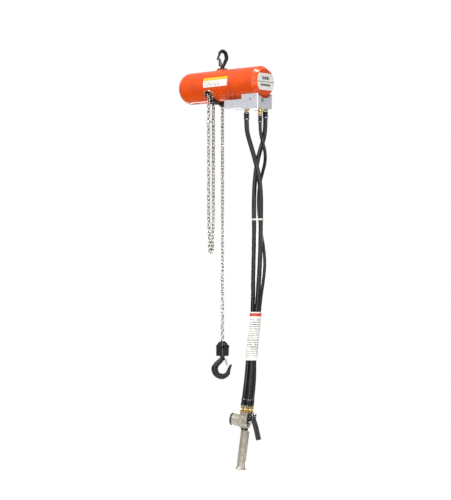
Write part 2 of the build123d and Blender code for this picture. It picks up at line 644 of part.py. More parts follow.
def build_brake():
    """Spring-applied disc brake at the gear end."""
    disc_x1 = GEAR_PLATE_X[0] - BRAKE_GAP
    disc_x0 = disc_x1 - BRAKE_DISC_THICK
    write("brake_disc", tube_x(BRAKE_DISC_R, disc_x0, disc_x1) - tube_x(SHAFT_R, disc_x0, disc_x1))
    piston_x1 = disc_x0 - BRAKE_GAP
    piston_x0 = piston_x1 - PISTON_THICK
    piston = tube_x(BRAKE_BORE_R - SLIDE_FIT, piston_x0, piston_x1)
    piston -= tube_x(SHAFT_R + 2, piston_x1 - 8, piston_x1)
    seal_x = (piston_x0 + 5, piston_x0 + 8)
    piston -= tube_x(BRAKE_BORE_R, *seal_x) - tube_x(BRAKE_BORE_R - 2.5, *seal_x)
    write("brake_piston", piston)
    room = (piston_x0 - BRAKE_CHAMBER_END_X) / DISC_SPRINGS
    springs = []
    for index in range(DISC_SPRINGS):
        x0 = BRAKE_CHAMBER_END_X + room * index + 0.1
        x1 = x0 + room - 0.2
        inner_x, outer_x = (x0, x1 - 1.5) if index % 2 else (x1 - 1.5, x0)
        strip = Polyline((inner_x, 14), (inner_x + 1.5, 14), (outer_x + 1.5, 30), (outer_x, 30), close=True)
        springs.append(Pos(0, AXIS_Y, AXIS_Z) * revolve(make_face(strip), Axis.X, 360))
    write("brake_springs", group(springs))


# ---------------------------------------------------------------- chain port, guide and limit lever
def build_port():
    """Bright guide ring of the slack port, with its anchor pin, and the black chain guide."""
    ring = port_axis_cylinder(PORT_RING_R, BODY_R - PORT_RING_DEPTH, BODY_R + PORT_RING_PROUD)
    ring -= port_axis_cylinder(PORT_BORE_R, BODY_R - 6, BODY_R + 8)
    rim = ring.edges().filter_by(GeomType.CIRCLE).group_by(Axis((0, 0, 0), (0, -1, -0.67)))[-1]
    ring = fillet(rim, 1.2)
    pin = tube_x(ANCHOR_PIN_R, -PORT_RING_R - 0.5, PORT_RING_R + 0.5, PORT_PIN_Y, PORT_PIN_Z)
    ring -= pin
    write("slack_port_ring", ring)
    write("chain_anchor", pin)
    guide = block(
        -GUIDE_HALF_X,
        GUIDE_HALF_X,
        SLACK_Y - GUIDE_OVERHANG,
        GUIDE_OVERHANG,
        BODY_BOTTOM_Z - GUIDE_BELOW,
        AXIS_Z,
    )
    guide = fillet(guide.edges().filter_by(Axis.Z), 5)
    guide -= tube_x(BODY_R, -40, 40)
    guide -= port_axis_cylinder(PORT_RING_R + OPEN_GAP, BODY_R - 10, BODY_R + 10)
    for y in (0.0, SLACK_Y):
        guide -= tube_z(CHAIN_PASSAGE_R, BODY_BOTTOM_Z - 5, AXIS_Z, 0, y)
    write("chain_guide", guide)


def build_limit_lever():
    """Rocking lever under the housing that either strand's stop can tip."""
    top = LEVER_TOP_Z
    low = top - LEVER_PLATE_THICK
    plate = block(-11, 11, SLACK_Y - LEVER_REACH + 1.5, LEVER_REACH, low, top)
    plate = fillet(plate.edges().filter_by(Axis.Z), 6)
    plate += tube_z(CHAIN_PASSAGE_R + 3, low - 4, top, 0, 0)
    for y in (0.0, SLACK_Y):
        plate -= tube_z(CHAIN_PASSAGE_R + 0.6, low - 5, top + 1, 0, y)
    shaft_z = top - LEVER_SHAFT_R
    plate += tube_x(LEVER_SHAFT_R, 9, MANIFOLD_LEFT_X + 14, AXIS_Y, shaft_z)
    plate += tube_x(LEVER_SHAFT_R + 1.5, 9, 20, AXIS_Y, shaft_z)
    write("limit_lever", plate)


# ---------------------------------------------------------------- suspension
def hook_stations(bowl_r, back_d, shank_d):
    """Centre line and thickness of a forged hook: (across, up, diameter), bowl centred on zero."""
    spread = ((145, 0.90), (180, 1.0), (225, 0.97), (270, 0.90), (315, 0.72), (347, 0.54))
    stations = [(0.0, 2.80 * bowl_r, shank_d), (0.0, 2.50 * bowl_r, shank_d * 1.08)]
    stations.append((-0.50 * bowl_r, 1.86 * bowl_r, 0.84 * back_d))
    for angle, share in spread:
        thick = share * back_d
        radius = bowl_r + thick / 2
        stations.append((radius * cos(radians(angle)), radius * sin(radians(angle)), thick))
    stations.append((1.66 * bowl_r, 0.42 * bowl_r, 0.43 * back_d))
    stations.append((1.90 * bowl_r, 0.86 * bowl_r, 0.30 * back_d))
    return stations


def forged_hook(place, bowl_r, back_d, shank_d, shank_top):
    """A hook lofted along its centre line, with a turned shank and a lug for its latch."""
    stations = hook_stations(bowl_r, back_d, shank_d)
    line = Spline([(p, q) for p, q, d in stations], tangents=[(0, -1), (0.45, 0.9)])
    sections = []
    for p, q, thick in stations:
        share = line.param_at_point((p, q))
        ahead = line.tangent_at(share)
        sections.append(Plane((p, q, 0), x_dir=(0, 0, 1), z_dir=ahead) * Circle(thick / 2))
    body = loft(sections)
    top = stations[0][1]
    shank = Pos(0, (top + shank_top) / 2, 0) * Rot(90, 0, 0) * Cylinder(SHANK_R, shank_top - top)
    body += shank
    hinge_p, hinge_q = latch_hinge(bowl_r)
    lug = Pos(hinge_p, hinge_q, 0) * Cylinder(3.6, LATCH_LUG)
    web_length = hinge_p + 2
    lug += Pos(hinge_p - web_length / 2, hinge_q + 0.5, 0) * Box(web_length, 6.0, LATCH_LUG)
    body += lug
    body -= Pos(hinge_p, hinge_q, 0) * Cylinder(LATCH_PIN_R, 40)
    return place * body


def latch_hinge(bowl_r):
    """Hinge centre of a hook's latch, in the hook's own plane."""
    return 0.76 * bowl_r, 2.14 * bowl_r


def latch_tip(bowl_r):
    """Where the closed latch ends, inside the hook's tip."""
    return 0.96 * bowl_r, 0.36 * bowl_r


def safety_latch(place, bowl_r):
    """Pressed safety latch: two cheeks on the hinge and a tongue to the hook's tip."""
    hinge_p, hinge_q = latch_hinge(bowl_r)
    end_p, end_q = latch_tip(bowl_r)
    length = sqrt((end_p - hinge_p) ** 2 + (end_q - hinge_q) ** 2)
    lean = degrees(atan2(end_q - hinge_q, end_p - hinge_p))
    cheek_at = LATCH_LUG / 2 + 0.3 + LATCH_CHEEK / 2
    tongue = Pos(length / 2 + 3.0, 2.6, 0) * Box(length - 6.0, 1.3, 2 * cheek_at + LATCH_CHEEK)
    latch = tongue
    for side in (-1, 1):
        eye = Pos(0, 0, side * cheek_at) * Cylinder(3.4, LATCH_CHEEK)
        arm = Pos(length * 0.25, 0.7, side * cheek_at) * Box(length * 0.5, 5.0, LATCH_CHEEK)
        latch += eye + arm
    latch -= Cylinder(LATCH_PIN_R + RUNNING_FIT, 40)
    return place * Pos(hinge_p, hinge_q, 0) * Rot(0, 0, lean) * latch


def latch_pin(place, bowl_r):
    """The rivet that a latch turns on."""
    hinge_p, hinge_q = latch_hinge(bowl_r)
    half = LATCH_LUG / 2 + LATCH_CHEEK + 0.9
    return place * Pos(hinge_p, hinge_q, 0) * Cylinder(LATCH_PIN_R, 2 * half)


TOP_PLACE = Plane((0, 0, 0), x_dir=(0, -1, 0), z_dir=(1, 0, 0)).location
LOAD_PLACE = Plane(
    (0, 0, LOAD_BOWL_Z),
    x_dir=(cos(radians(HOOK_YAW)), sin(radians(HOOK_YAW)), 0),
    z_dir=(sin(radians(HOOK_YAW)), -cos(radians(HOOK_YAW)), 0),
).location


def build_suspension():
    """Top hook with nut, latch and collar."""
    nut_top = BOSS_TOP_Z - BOSS_ROOF - 0.1
    shank_top = -(nut_top - NUT_HEIGHT)
    write("suspension_hook", forged_hook(TOP_PLACE, TOP_BOWL_R, TOP_BACK_D, TOP_SHANK_D, shank_top))
    nut = hexagon_z(2 * NUT_R * 0.84, nut_top - NUT_HEIGHT, nut_top)
    write("suspension_nut", nut - tube_z(SHANK_R, nut_top - NUT_HEIGHT, nut_top))
    collar_top_z = BOSS_TOP_Z + COLLAR_HEIGHT
    collar = tube_z(COLLAR_R, BOSS_TOP_Z, collar_top_z - COLLAR_STEP)
    collar += tube_z(COLLAR_R - 5, BOSS_TOP_Z, collar_top_z)
    collar -= tube_z(SHANK_R + RUNNING_FIT, BOSS_TOP_Z, collar_top_z)
    write("suspension_collar", collar)
    write("suspension_latch", safety_latch(TOP_PLACE, TOP_BOWL_R))
    write("suspension_latch_pin", latch_pin(TOP_PLACE, TOP_BOWL_R))


# ---------------------------------------------------------------- hook block
def build_hook_block():
    """Two-part hook block, its screws and chain pin, with the swivelling load hook."""
    shoulder_z = BLOCK_TOP_Z - BLOCK_CHAMFER
    lower = block(-BLOCK_HALF_X, BLOCK_HALF_X, -BLOCK_HALF_Y, BLOCK_HALF_Y, BLOCK_BOTTOM_Z, shoulder_z)
    lower = fillet(lower.edges().filter_by(Axis.Z), BLOCK_CORNER)
    low_face = Plane((0, 0, shoulder_z)) * RectangleRounded(2 * BLOCK_HALF_X, 2 * BLOCK_HALF_Y, BLOCK_CORNER)
    top_face = Plane((0, 0, BLOCK_TOP_Z)) * RectangleRounded(BLOCK_TOP_SIZE, BLOCK_TOP_SIZE, BLOCK_CORNER)
    body = lower + loft([low_face, top_face])
    body = fillet(body.faces().sort_by(Axis.Z)[0].edges(), 4)
    floor_z = BLOCK_BOTTOM_Z + BLOCK_FLOOR
    nut_room_z = floor_z + THRUST_HEIGHT + NUT_HEIGHT + 1.5
    body -= tube_z(CHAIN_PASSAGE_R, nut_room_z - 3, BLOCK_TOP_Z + 1)
    body -= tube_z(NUT_R + 1.5, floor_z, nut_room_z)
    body -= tube_z(SHANK_R + RUNNING_FIT, BLOCK_BOTTOM_Z - 1, floor_z + 1)
    body -= tube_x(CHAIN_PIN_R, -13, 13, 0, CHAIN_PIN_Z)
    screws = []
    for side in (-1, 1):
        y = side * 13.0
        z = CHAIN_PIN_Z + 1.5
        stem = tube_x(2.5, -BLOCK_HALF_X + 3, BLOCK_HALF_X - 4, y, z)
        head = tube_x(4.2, BLOCK_HALF_X - 4, BLOCK_HALF_X - 0.6, y, z)
        body -= stem
        body -= tube_x(4.4, BLOCK_HALF_X - 4, BLOCK_HALF_X + 1, y, z)
        socket = Pos(BLOCK_HALF_X - 3, y, z) * Rot(0, 90, 0) * extrude(RegularPolygon(2.4, 6), 4)
        screws.append(stem + head - socket)
    write("hook_block_front", body & block(0, 30, -30, 30, BLOCK_BOTTOM_Z - 5, BLOCK_TOP_Z + 5))
    write("hook_block_rear", body & block(-30, 0, -30, 30, BLOCK_BOTTOM_Z - 5, BLOCK_TOP_Z + 5))
    write("hook_block_screws", group(screws))
    write("chain_end_pin", tube_x(CHAIN_PIN_R, -13, 13, 0, CHAIN_PIN_Z))
    shank_top = floor_z + THRUST_HEIGHT + NUT_HEIGHT - LOAD_BOWL_Z
    write("load_hook", forged_hook(LOAD_PLACE, LOAD_BOWL_R, LOAD_BACK_D, LOAD_SHANK_D, shank_top))
    nut = tube_z(NUT_R, floor_z + THRUST_HEIGHT + 0.1, floor_z + THRUST_HEIGHT + NUT_HEIGHT)
    washer = tube_z(NUT_R, floor_z + 0.1, floor_z + THRUST_HEIGHT - 0.1)
    bore = tube_z(SHANK_R, floor_z, floor_z + 30)
    write("load_hook_nut", group([nut - bore, washer - bore]))
    write("load_latch", safety_latch(LOAD_PLACE, LOAD_BOWL_R))
    write("load_latch_pin", latch_pin(LOAD_PLACE, LOAD_BOWL_R))


# ---------------------------------------------------------------- valve manifold
def spool_y():
    """Across position of the valve spool."""
    return AXIS_Y + 20.0


def spool_z():
    """Height of the valve spool, in the middle of the slab."""
    return BODY_BOTTOM_Z - SLAB_GAP - SLAB_THICK / 2 - 2


def manifold_screw_x():
    """Positions of the manifold screws along the body."""
    return (MANIFOLD_STEP_X + 10, MANIFOLD_RIGHT_X - 9)


def manifold_screw_y():
    """Positions of the manifold screws across the body."""
    return (AXIS_Y - 29, AXIS_Y + 31)


def build_manifold():
    """Aluminium valve block cradled under the motor cover, with its spool."""
    front = AXIS_Y - MANIFOLD_FRONT
    back = AXIS_Y + MANIFOLD_BACK
    slab_top = BODY_BOTTOM_Z - SLAB_GAP
    body = block(MANIFOLD_LEFT_X, MANIFOLD_STEP_X, front, back, slab_top - SLAB_THICK, slab_top)
    rise_z = BODY_BOTTOM_Z + BLOCK_RISE
    body += block(MANIFOLD_STEP_X, MANIFOLD_RIGHT_X, front, back, MANIFOLD_BOTTOM_Z, rise_z)
    body = fillet(body.edges().filter_by(Axis.Z), 2.5)
    body -= tube_x(BODY_R, MANIFOLD_LEFT_X - 5, MANIFOLD_RIGHT_X + 5)
    inlet_z = BODY_BOTTOM_Z - INLET_DROP
    inlet = Pos(INLET_X, front + INLET_DEPTH / 2, inlet_z) * Rot(90, 0, 0) * Cylinder(INLET_R, INLET_DEPTH)
    body -= inlet
    body -= Pos(INLET_X + 17, front + 5, inlet_z + 6) * Rot(90, 0, 0) * Cylinder(2.1, 10)
    body -= tube_x(EXHAUST_R, MANIFOLD_RIGHT_X - 22, MANIFOLD_RIGHT_X, AXIS_Y - 12.0, BODY_BOTTOM_Z - 7.5)
    body -= tube_x(SPOOL_R + SLIDE_FIT, MANIFOLD_LEFT_X + 6, MANIFOLD_STEP_X + 12, spool_y(), spool_z())
    body -= tube_x(SPOOL_R + 1.5, MANIFOLD_LEFT_X, MANIFOLD_LEFT_X + 6, spool_y(), spool_z())
    lever_z = LEVER_TOP_Z - LEVER_SHAFT_R
    body -= tube_x(LEVER_SHAFT_R + RUNNING_FIT, MANIFOLD_LEFT_X, MANIFOLD_LEFT_X + 16, AXIS_Y, lever_z)
    for x in manifold_screw_x():
        for y in manifold_screw_y():
            body -= tube_z(2.5, MANIFOLD_BOTTOM_Z + 4, AXIS_Z, x, y)
            body -= tube_z(4.5, MANIFOLD_BOTTOM_Z, MANIFOLD_BOTTOM_Z + 5, x, y)
    body -= tube_z(6.0, inlet_z - 10, AXIS_Z, MANIFOLD_STEP_X + 30, AXIS_Y)
    write("valve_manifold", body)
    spool = tube_x(SPOOL_R, MANIFOLD_LEFT_X + 12, MANIFOLD_STEP_X + 4, spool_y(), spool_z())
    for groove in SPOOL_GROOVES:
        x = MANIFOLD_LEFT_X + groove
        waist = tube_x(SPOOL_WAIST_R, x, x + SPOOL_GROOVE, spool_y(), spool_z())
        spool -= tube_x(SPOOL_R + 1, x, x + SPOOL_GROOVE, spool_y(), spool_z()) - waist
    write("main_spool", spool)


# ---------------------------------------------------------------- hoses
SUPPLY_ROUTE = [
    (80.6, -133.1, -228),
    (80.6, -133.1, -262),
    (92, -138.5, -303),
    (105, -145.5, -348),
    (116.5, -149.5, -392),
    (125, -149, -438),
    (128.5, -145.5, -492),
    (127.8, -142, -560),
    (127, -143, -635),
    (124.5, -146, -712),
    (119.5, -145, -796),
    (113.5, -143, -880),
    (107, -144, -950),
    (98.5, -144.5, -1020),
    (96, -150, -1075),
]

RAISE_ROUTE = [
    (143.4, -129.1, -222),
    (143.4, -129.1, -256),
    (138, -129, -292),
    (127, -128.5, -325),
    (117.5, -127.5, -362),
    (110.5, -129, -408),
    (106, -133, -462),
    (105, -137, -530),
    (105.8, -139, -600),
    (104.2, -137, -680),
    (102.5, -137.5, -760),
    (102, -135.5, -825),
    (100, -134, -880),
    (94.5, -134.5, -950),
    (86.5, -133.5, -1020),
    (82.5, -138, -1070),
]

LOWER_ROUTE = [
    (125.5, -152, -238),
    (125.5, -152, -268),
    (133, -151, -300),
    (142.5, -146, -334),
    (143, -137, -368),
    (134.5, -127.5, -402),
    (124.5, -122, -440),
    (120, -120.5, -492),
    (122, -121.5, -548),
    (130, -124, -607),
    (139.5, -129, -662),
    (142, -133.5, -715),
    (136, -134, -770),
    (127.5, -132, -826),
    (122.8, -131.5, -880),
    (117, -131.5, -950),
    (107.5, -132, -1020),
    (108, -134, -1072),
]

PENDANT_FITTINGS = {"supply": (22.0, -8.0), "raise": (5.0, -6.0), "lower": (27.0, 16.0)}
FITTING_TOP = 49.0
FERRULE_LENGTH = 25.0
END_RUN = 38.0


def pendant_place():
    """Location of the pendant's own frame: x to the levers, y across, z up the grip."""
    lean = radians(PENDANT_LEAN)
    yaw = radians(HANG_YAW)
    up = (sin(lean) * cos(yaw), sin(lean) * sin(yaw), cos(lean))
    ahead = (cos(radians(PENDANT_YAW)), sin(radians(PENDANT_YAW)), 0)
    dot = sum(a * b for a, b in zip(up, ahead))
    flat = tuple(a - dot * b for a, b in zip(ahead, up))
    return Plane(to_world(PENDANT_HEAD), x_dir=flat, z_dir=up).location


PENDANT = pendant_place()


def in_pendant(point):
    """A point of the pendant's frame, in the object's frame."""
    place = (PENDANT * Pos(*point)).position
    return (place.X, place.Y, place.Z)


def hose_points(route, fitting):
    """The whole route in the object's frame, ending straight into the pendant's fitting."""
    across, deep = PENDANT_FITTINGS[fitting]
    mouth = FITTING_TOP + FERRULE_LENGTH
    tail = [in_pendant((across, deep, mouth + END_RUN)), in_pendant((across, deep, mouth))]
    return [to_world(point) for point in route] + tail


def corner_radii(points):
    """For each corner, 0.45 of its shorter run over the tangent of half its turn."""
    radii = []
    for before, here, after in zip(points, points[1:], points[2:]):
        run_in = Vector(*here) - Vector(*before)
        run_out = Vector(*after) - Vector(*here)
        half_turn = radians(run_in.get_angle(run_out)) / 2
        radii.append(0.45 * min(run_in.length, run_out.length) / tan(half_turn))
    return radii


def hose(name, points, diameter):
    """A hose along its route, with arcs as large as the runs allow."""
    radii = corner_radii(points)
    path = FilletPolyline(*points, radius=radii)
    start = Plane(points[0], z_dir=path.tangent_at(0))
    body = sweep(start * Circle(diameter / 2), path)
    expected = pi * diameter**2 / 4 * path.length
    tight = min(radii)
    print(f"{name}: length {path.length:.1f}, radii {[round(r) for r in radii]}")
    print(f"{name}: smallest radius {tight:.0f}, {tight / diameter:.1f} diameters")
    print(f"{name}: volume over section x length {body.volume / expected:.4f}")
    write(name, body)


HOSES = (
    ("supply_hose", SUPPLY_ROUTE, "supply", SUPPLY_HOSE_D),
    ("raise_hose", RAISE_ROUTE, "raise", RAISE_HOSE_D),
    ("lower_hose", LOWER_ROUTE, "lower", LOWER_HOSE_D),
)


def fitting_set(diameter, drop):
    """Brass fitting of a hose, along Z from zero down by drop."""
    brass = hexagon_z(FITTING_HEX + 4, -drop * 0.45, 0)
    brass += tube_z(FITTING_HEX / 2, -drop, 0)
    brass += hexagon_z(FITTING_HEX + 2, -drop * 0.92, -drop * 0.6)
    return brass


def ferrule(diameter, length):
    """Black crimp ferrule, along Z from zero down by length, with a stepped crimp band."""
    radius = diameter / 2 + FERRULE_WALL
    body = tube_z(radius, -length, 0)
    for share in (0.3, 0.5, 0.7):
        band = tube_z(radius + 1, -length * (share + 0.05), -length * (share - 0.05))
        body -= band - tube_z(radius - 0.5, -length * (share + 0.05), -length * (share - 0.05))
    return body


def build_hoses():
    """Three hoses, the fittings and ferrules at both their ends, the tie and the warning sleeve."""
    fittings = []
    ferrules = []
    for name, route, key, diameter in HOSES:
        hose(name, hose_points(route, key), diameter)
        x, y, z = to_world(route[0])
        ferrule_top = z + FERRULE_LENGTH
        fittings.append(Pos(x, y, MANIFOLD_BOTTOM_Z) * fitting_set(diameter, MANIFOLD_BOTTOM_Z - ferrule_top))
        ferrules.append(Pos(x, y, ferrule_top) * ferrule(diameter, FERRULE_LENGTH))
        across, deep = PENDANT_FITTINGS[key]
        turned = PENDANT * Pos(across, deep, PAD_HEIGHT) * Rot(180, 0, 0)
        fittings.append(turned * fitting_set(diameter, FITTING_TOP - PAD_HEIGHT))
        turned = PENDANT * Pos(across, deep, FITTING_TOP) * Rot(180, 0, 0)
        ferrules.append(turned * ferrule(diameter, FERRULE_LENGTH))
    write("hose_fittings", group(fittings))
    write("hose_ferrules", group(ferrules))
    build_tie()
    build_sleeve()


def route_at(route, height):
    """Where a route's runs pass a height, in the turned frame."""
    for before, after in zip(route, route[1:]):
        if before[2] >= height >= after[2]:
            share = (before[2] - height) / (before[2] - after[2])
            return tuple(a + share * (b - a) for a, b in zip(before, after))
    return route[-1]


def build_tie():
    """Cable tie round the three hoses."""
    circles = []
    for name, route, key, diameter in HOSES:
        x, y, z = to_world(route_at(route, TIE_HEIGHT))
        circles += (Pos(x, y) * Circle(diameter / 2 + TIE_SLACK)).edges()
    inside = make_hull(circles)
    outside = offset(inside, TIE_THICK)
    band = extrude(outside - inside, TIE_WIDTH)
    write("hose_tie", Pos(0, 0, TIE_HEIGHT - TIE_WIDTH / 2) * band)


def build_sleeve():
    """Warning sleeve: a flat-sided tube of sheet wrapped round the hoses."""
    yaw = radians(HANG_YAW)

    def section(centre, extra):
        """The sleeve's outline at one end, grown by extra."""
        plane = Plane(to_world(centre), x_dir=(cos(yaw), sin(yaw), 0), z_dir=(0, 0, 1))
        return plane * RectangleRounded(SLEEVE_WIDTH + extra, SLEEVE_DEPTH + extra, 8 + extra / 2)

    outer = loft([section(SLEEVE_TOP, 0), section(SLEEVE_BOTTOM, 0)])
    inner = loft([section(SLEEVE_TOP, -2 * SLEEVE_WALL), section(SLEEVE_BOTTOM, -2 * SLEEVE_WALL)])
    write("warning_sleeve", outer - inner)


# ---------------------------------------------------------------- pendant
def along_head(radius, x0, x1, y=0.0, z=0.0, end_radius=None):
    """A bar or cone along the pendant's head."""
    solid = Cone(radius, end_radius, x1 - x0) if end_radius else Cylinder(radius, x1 - x0)
    return Pos((x0 + x1) / 2, y, z) * Rot(0, 90, 0) * solid


def lever_lane(side):
    """Middle of a lever across the head: -1 is the front lever, 1 the rear."""
    return side * LEVER_SPREAD


def build_pendant_body():
    """Die-cast pistol-grip body with its black end cap."""
    body = along_head(HEAD_SMALL_R, HEAD_LEFT, HEAD_RIGHT - 14, end_radius=HEAD_LARGE_R)
    body += along_head(HEAD_LARGE_R, HEAD_RIGHT - 14, HEAD_RIGHT)
    body += Pos(13.5, 4, PAD_HEIGHT / 2) * Box(33, 38, PAD_HEIGHT)
    shaft_top = GRIP_NECK_TOP - GRIP_NECK_DEEP
    grip = Pos(GRIP_OFFSET - 4, 0, shaft_top / 2) * Cylinder(GRIP_R - 1.5, GRIP_NECK_DEEP - GRIP_NECK_TOP)
    shaft_length = shaft_top - GRIP_BOTTOM
    taper = Pos(GRIP_OFFSET, 0, shaft_top - shaft_length / 2) * Cone(GRIP_R, GRIP_R + 0.5, shaft_length)
    foot = Pos(GRIP_OFFSET, 0, GRIP_BOTTOM - FOOT_THICK / 2) * Cone(FOOT_R, GRIP_R, FOOT_THICK)
    body += grip + taper + foot
    for side in (-1, 1):
        y = lever_lane(side)
        body -= along_head(PLUNGER_R + SLIDE_FIT, HEAD_RIGHT - 22, HEAD_RIGHT + 1, y, 0)
    write("pendant_body", PENDANT * body)
    cap = along_head(HEAD_SMALL_R + 1.5, HEAD_LEFT - CAP_THICK, HEAD_LEFT)
    cap = fillet(cap.edges().filter_by(GeomType.CIRCLE).sort_by(Axis.X)[0], 2.5)
    write("pendant_cap", PENDANT * cap)


def build_levers():
    """Bracket, pin, two levers and the two plungers that they push."""
    pivot_x, pivot_z = LEVER_PIVOT
    outer = LEVER_SPREAD + LEVER_WIDE / 2 + 0.7
    bracket = Pos(HEAD_RIGHT + 1.5, 0, 10) * Box(3.0, 2 * (outer + LUG_SIDE_THICK), 34)
    reach = pivot_x + 5 - HEAD_RIGHT
    lug_y = outer + LUG_SIDE_THICK / 2
    for y, thick in ((-lug_y, LUG_SIDE_THICK), (0, LUG_MIDDLE_THICK), (lug_y, LUG_SIDE_THICK)):
        bracket += Pos(HEAD_RIGHT + reach / 2, y, pivot_z) * Box(reach, thick, LUG_HEIGHT)
    bracket -= Pos(pivot_x, 0, pivot_z) * Rot(90, 0, 0) * Cylinder(LEVER_PIN_R, 80)
    for side in (-1, 1):
        bracket -= along_head(PLUNGER_R + OPEN_GAP, HEAD_RIGHT - 1, HEAD_RIGHT + 5, lever_lane(side), 0)
    write("lever_bracket", PENDANT * bracket)
    pin_half = outer + LUG_SIDE_THICK + 1
    pin = Pos(pivot_x, 0, pivot_z) * Rot(90, 0, 0) * Cylinder(LEVER_PIN_R, 2 * pin_half)
    write("lever_pin", PENDANT * pin)
    for name, side in (("raise_lever", -1), ("lower_lever", 1)):
        y = lever_lane(side)
        hub = Rot(90, 0, 0) * Cylinder(LEVER_HUB_R, LEVER_WIDE)
        arm = Pos(0, 0, -LEVER_LENGTH / 2) * Box(LEVER_THICK, LEVER_WIDE, LEVER_LENGTH)
        toe = Pos(0, 0, -LEVER_LENGTH) * Rot(90, 0, 0) * Cylinder(LEVER_THICK / 2, LEVER_WIDE)
        lever = hub + arm + toe
        lever -= Rot(90, 0, 0) * Cylinder(LEVER_PIN_R + RUNNING_FIT, 40)
        write(name, PENDANT * Pos(pivot_x, y, pivot_z) * Rot(0, -LEVER_SPLAY, 0) * lever)
    for name, side in (("raise_plunger", -1), ("lower_plunger", 1)):
        y = lever_lane(side)
        plunger = along_head(PLUNGER_R, HEAD_RIGHT - 15, PLUNGER_TIP, y, 0)
        nose = plunger.edges().filter_by(GeomType.CIRCLE).sort_by(Axis.X)[-1]
        plunger = fillet(nose, 2.5)
        write(name, PENDANT * plunger)


def main():
    """Build and write every node."""
    os.makedirs("parts", exist_ok=True)
    build_chain()
    build_housing()
    build_covers()
    build_screws()
    build_labels()
    build_gears()
    build_wheel()
    build_bearings()
    build_motor()
    build_brake()
    build_port()
    build_limit_lever()
    build_suspension()
    build_hook_block()
    build_manifold()
    build_hoses()
    build_pendant_body()
    build_levers()


main()
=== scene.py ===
"""Looks of an air-powered chain hoist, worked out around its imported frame.

Every length in the classes below is in millimetres. The meshes are in metres.
"""

import logging
from dataclasses import dataclass, field
from enum import Enum
from math import cos, pi, radians, sin, sqrt

import bpy
import numpy as np
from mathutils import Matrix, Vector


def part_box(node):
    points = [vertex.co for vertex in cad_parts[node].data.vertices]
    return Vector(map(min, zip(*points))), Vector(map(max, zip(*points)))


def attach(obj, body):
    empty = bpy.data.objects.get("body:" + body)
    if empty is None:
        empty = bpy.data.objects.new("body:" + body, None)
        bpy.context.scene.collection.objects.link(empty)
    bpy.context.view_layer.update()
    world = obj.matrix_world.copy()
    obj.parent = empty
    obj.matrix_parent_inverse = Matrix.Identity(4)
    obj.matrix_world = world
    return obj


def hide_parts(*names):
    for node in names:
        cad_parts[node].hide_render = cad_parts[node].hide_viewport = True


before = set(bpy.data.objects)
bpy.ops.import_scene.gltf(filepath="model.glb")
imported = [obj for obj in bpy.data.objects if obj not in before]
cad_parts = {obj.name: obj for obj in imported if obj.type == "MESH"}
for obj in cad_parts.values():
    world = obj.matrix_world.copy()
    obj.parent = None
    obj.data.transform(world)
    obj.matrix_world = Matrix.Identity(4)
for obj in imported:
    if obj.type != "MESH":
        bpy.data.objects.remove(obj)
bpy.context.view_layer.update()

MM = 0.001
LOG = logging.getLogger("hoist")

Array = np.ndarray
Point = tuple[float, float, float]


# ---------------------------------------------------------------- finishes
def linear(colour: str) -> tuple[float, float, float, float]:
    """Turn an sRGB hex value into linear light.

    Args:
        colour: six hex digits, with or without a leading hash.

    Returns:
        Red, green, blue and an alpha of one.
    """
    digits = colour.lstrip("#")
    shares = [int(digits[i : i + 2], 16) / 255 for i in (0, 2, 4)]
    light = [s / 12.92 if s <= 0.04045 else ((s + 0.055) / 1.055) ** 2.4 for s in shares]
    return (*light, 1.0)


def add_node(
    tree: bpy.types.NodeTree, kind: str, settings: dict | None = None, **inputs: object
) -> bpy.types.Node:
    """Add one node with its settings, values and links.

    Args:
        tree: the tree that gets the node.
        kind: Blender's name of the node type, without its ShaderNode start.
        settings: properties of the node itself.
        inputs: a value or an output socket for each input, named in lower case
            with underscores; a trailing number picks an input by its place.

    Returns:
        The new node.
    """
    node = tree.nodes.new("ShaderNode" + kind)
    for key, value in (settings or {}).items():
        setattr(node, key, value)
    for key, value in inputs.items():
        if key.startswith("n") and key[1:].isdigit():
            socket = node.inputs[int(key[1:])]
        else:
            wanted = key.replace("_", " ").lower()
            socket = next(s for s in node.inputs if s.name.lower() == wanted and s.enabled)
        if isinstance(value, bpy.types.NodeSocket):
            tree.links.new(value, socket)
        else:
            socket.default_value = value
    return node


class Grain(Enum):
    """How the fine relief of a surface runs."""

    EVEN = (1.0, 1.0, 1.0)
    ALONG_Z = (1.0, 1.0, 0.04)
    ALONG_X = (0.05, 1.0, 1.0)


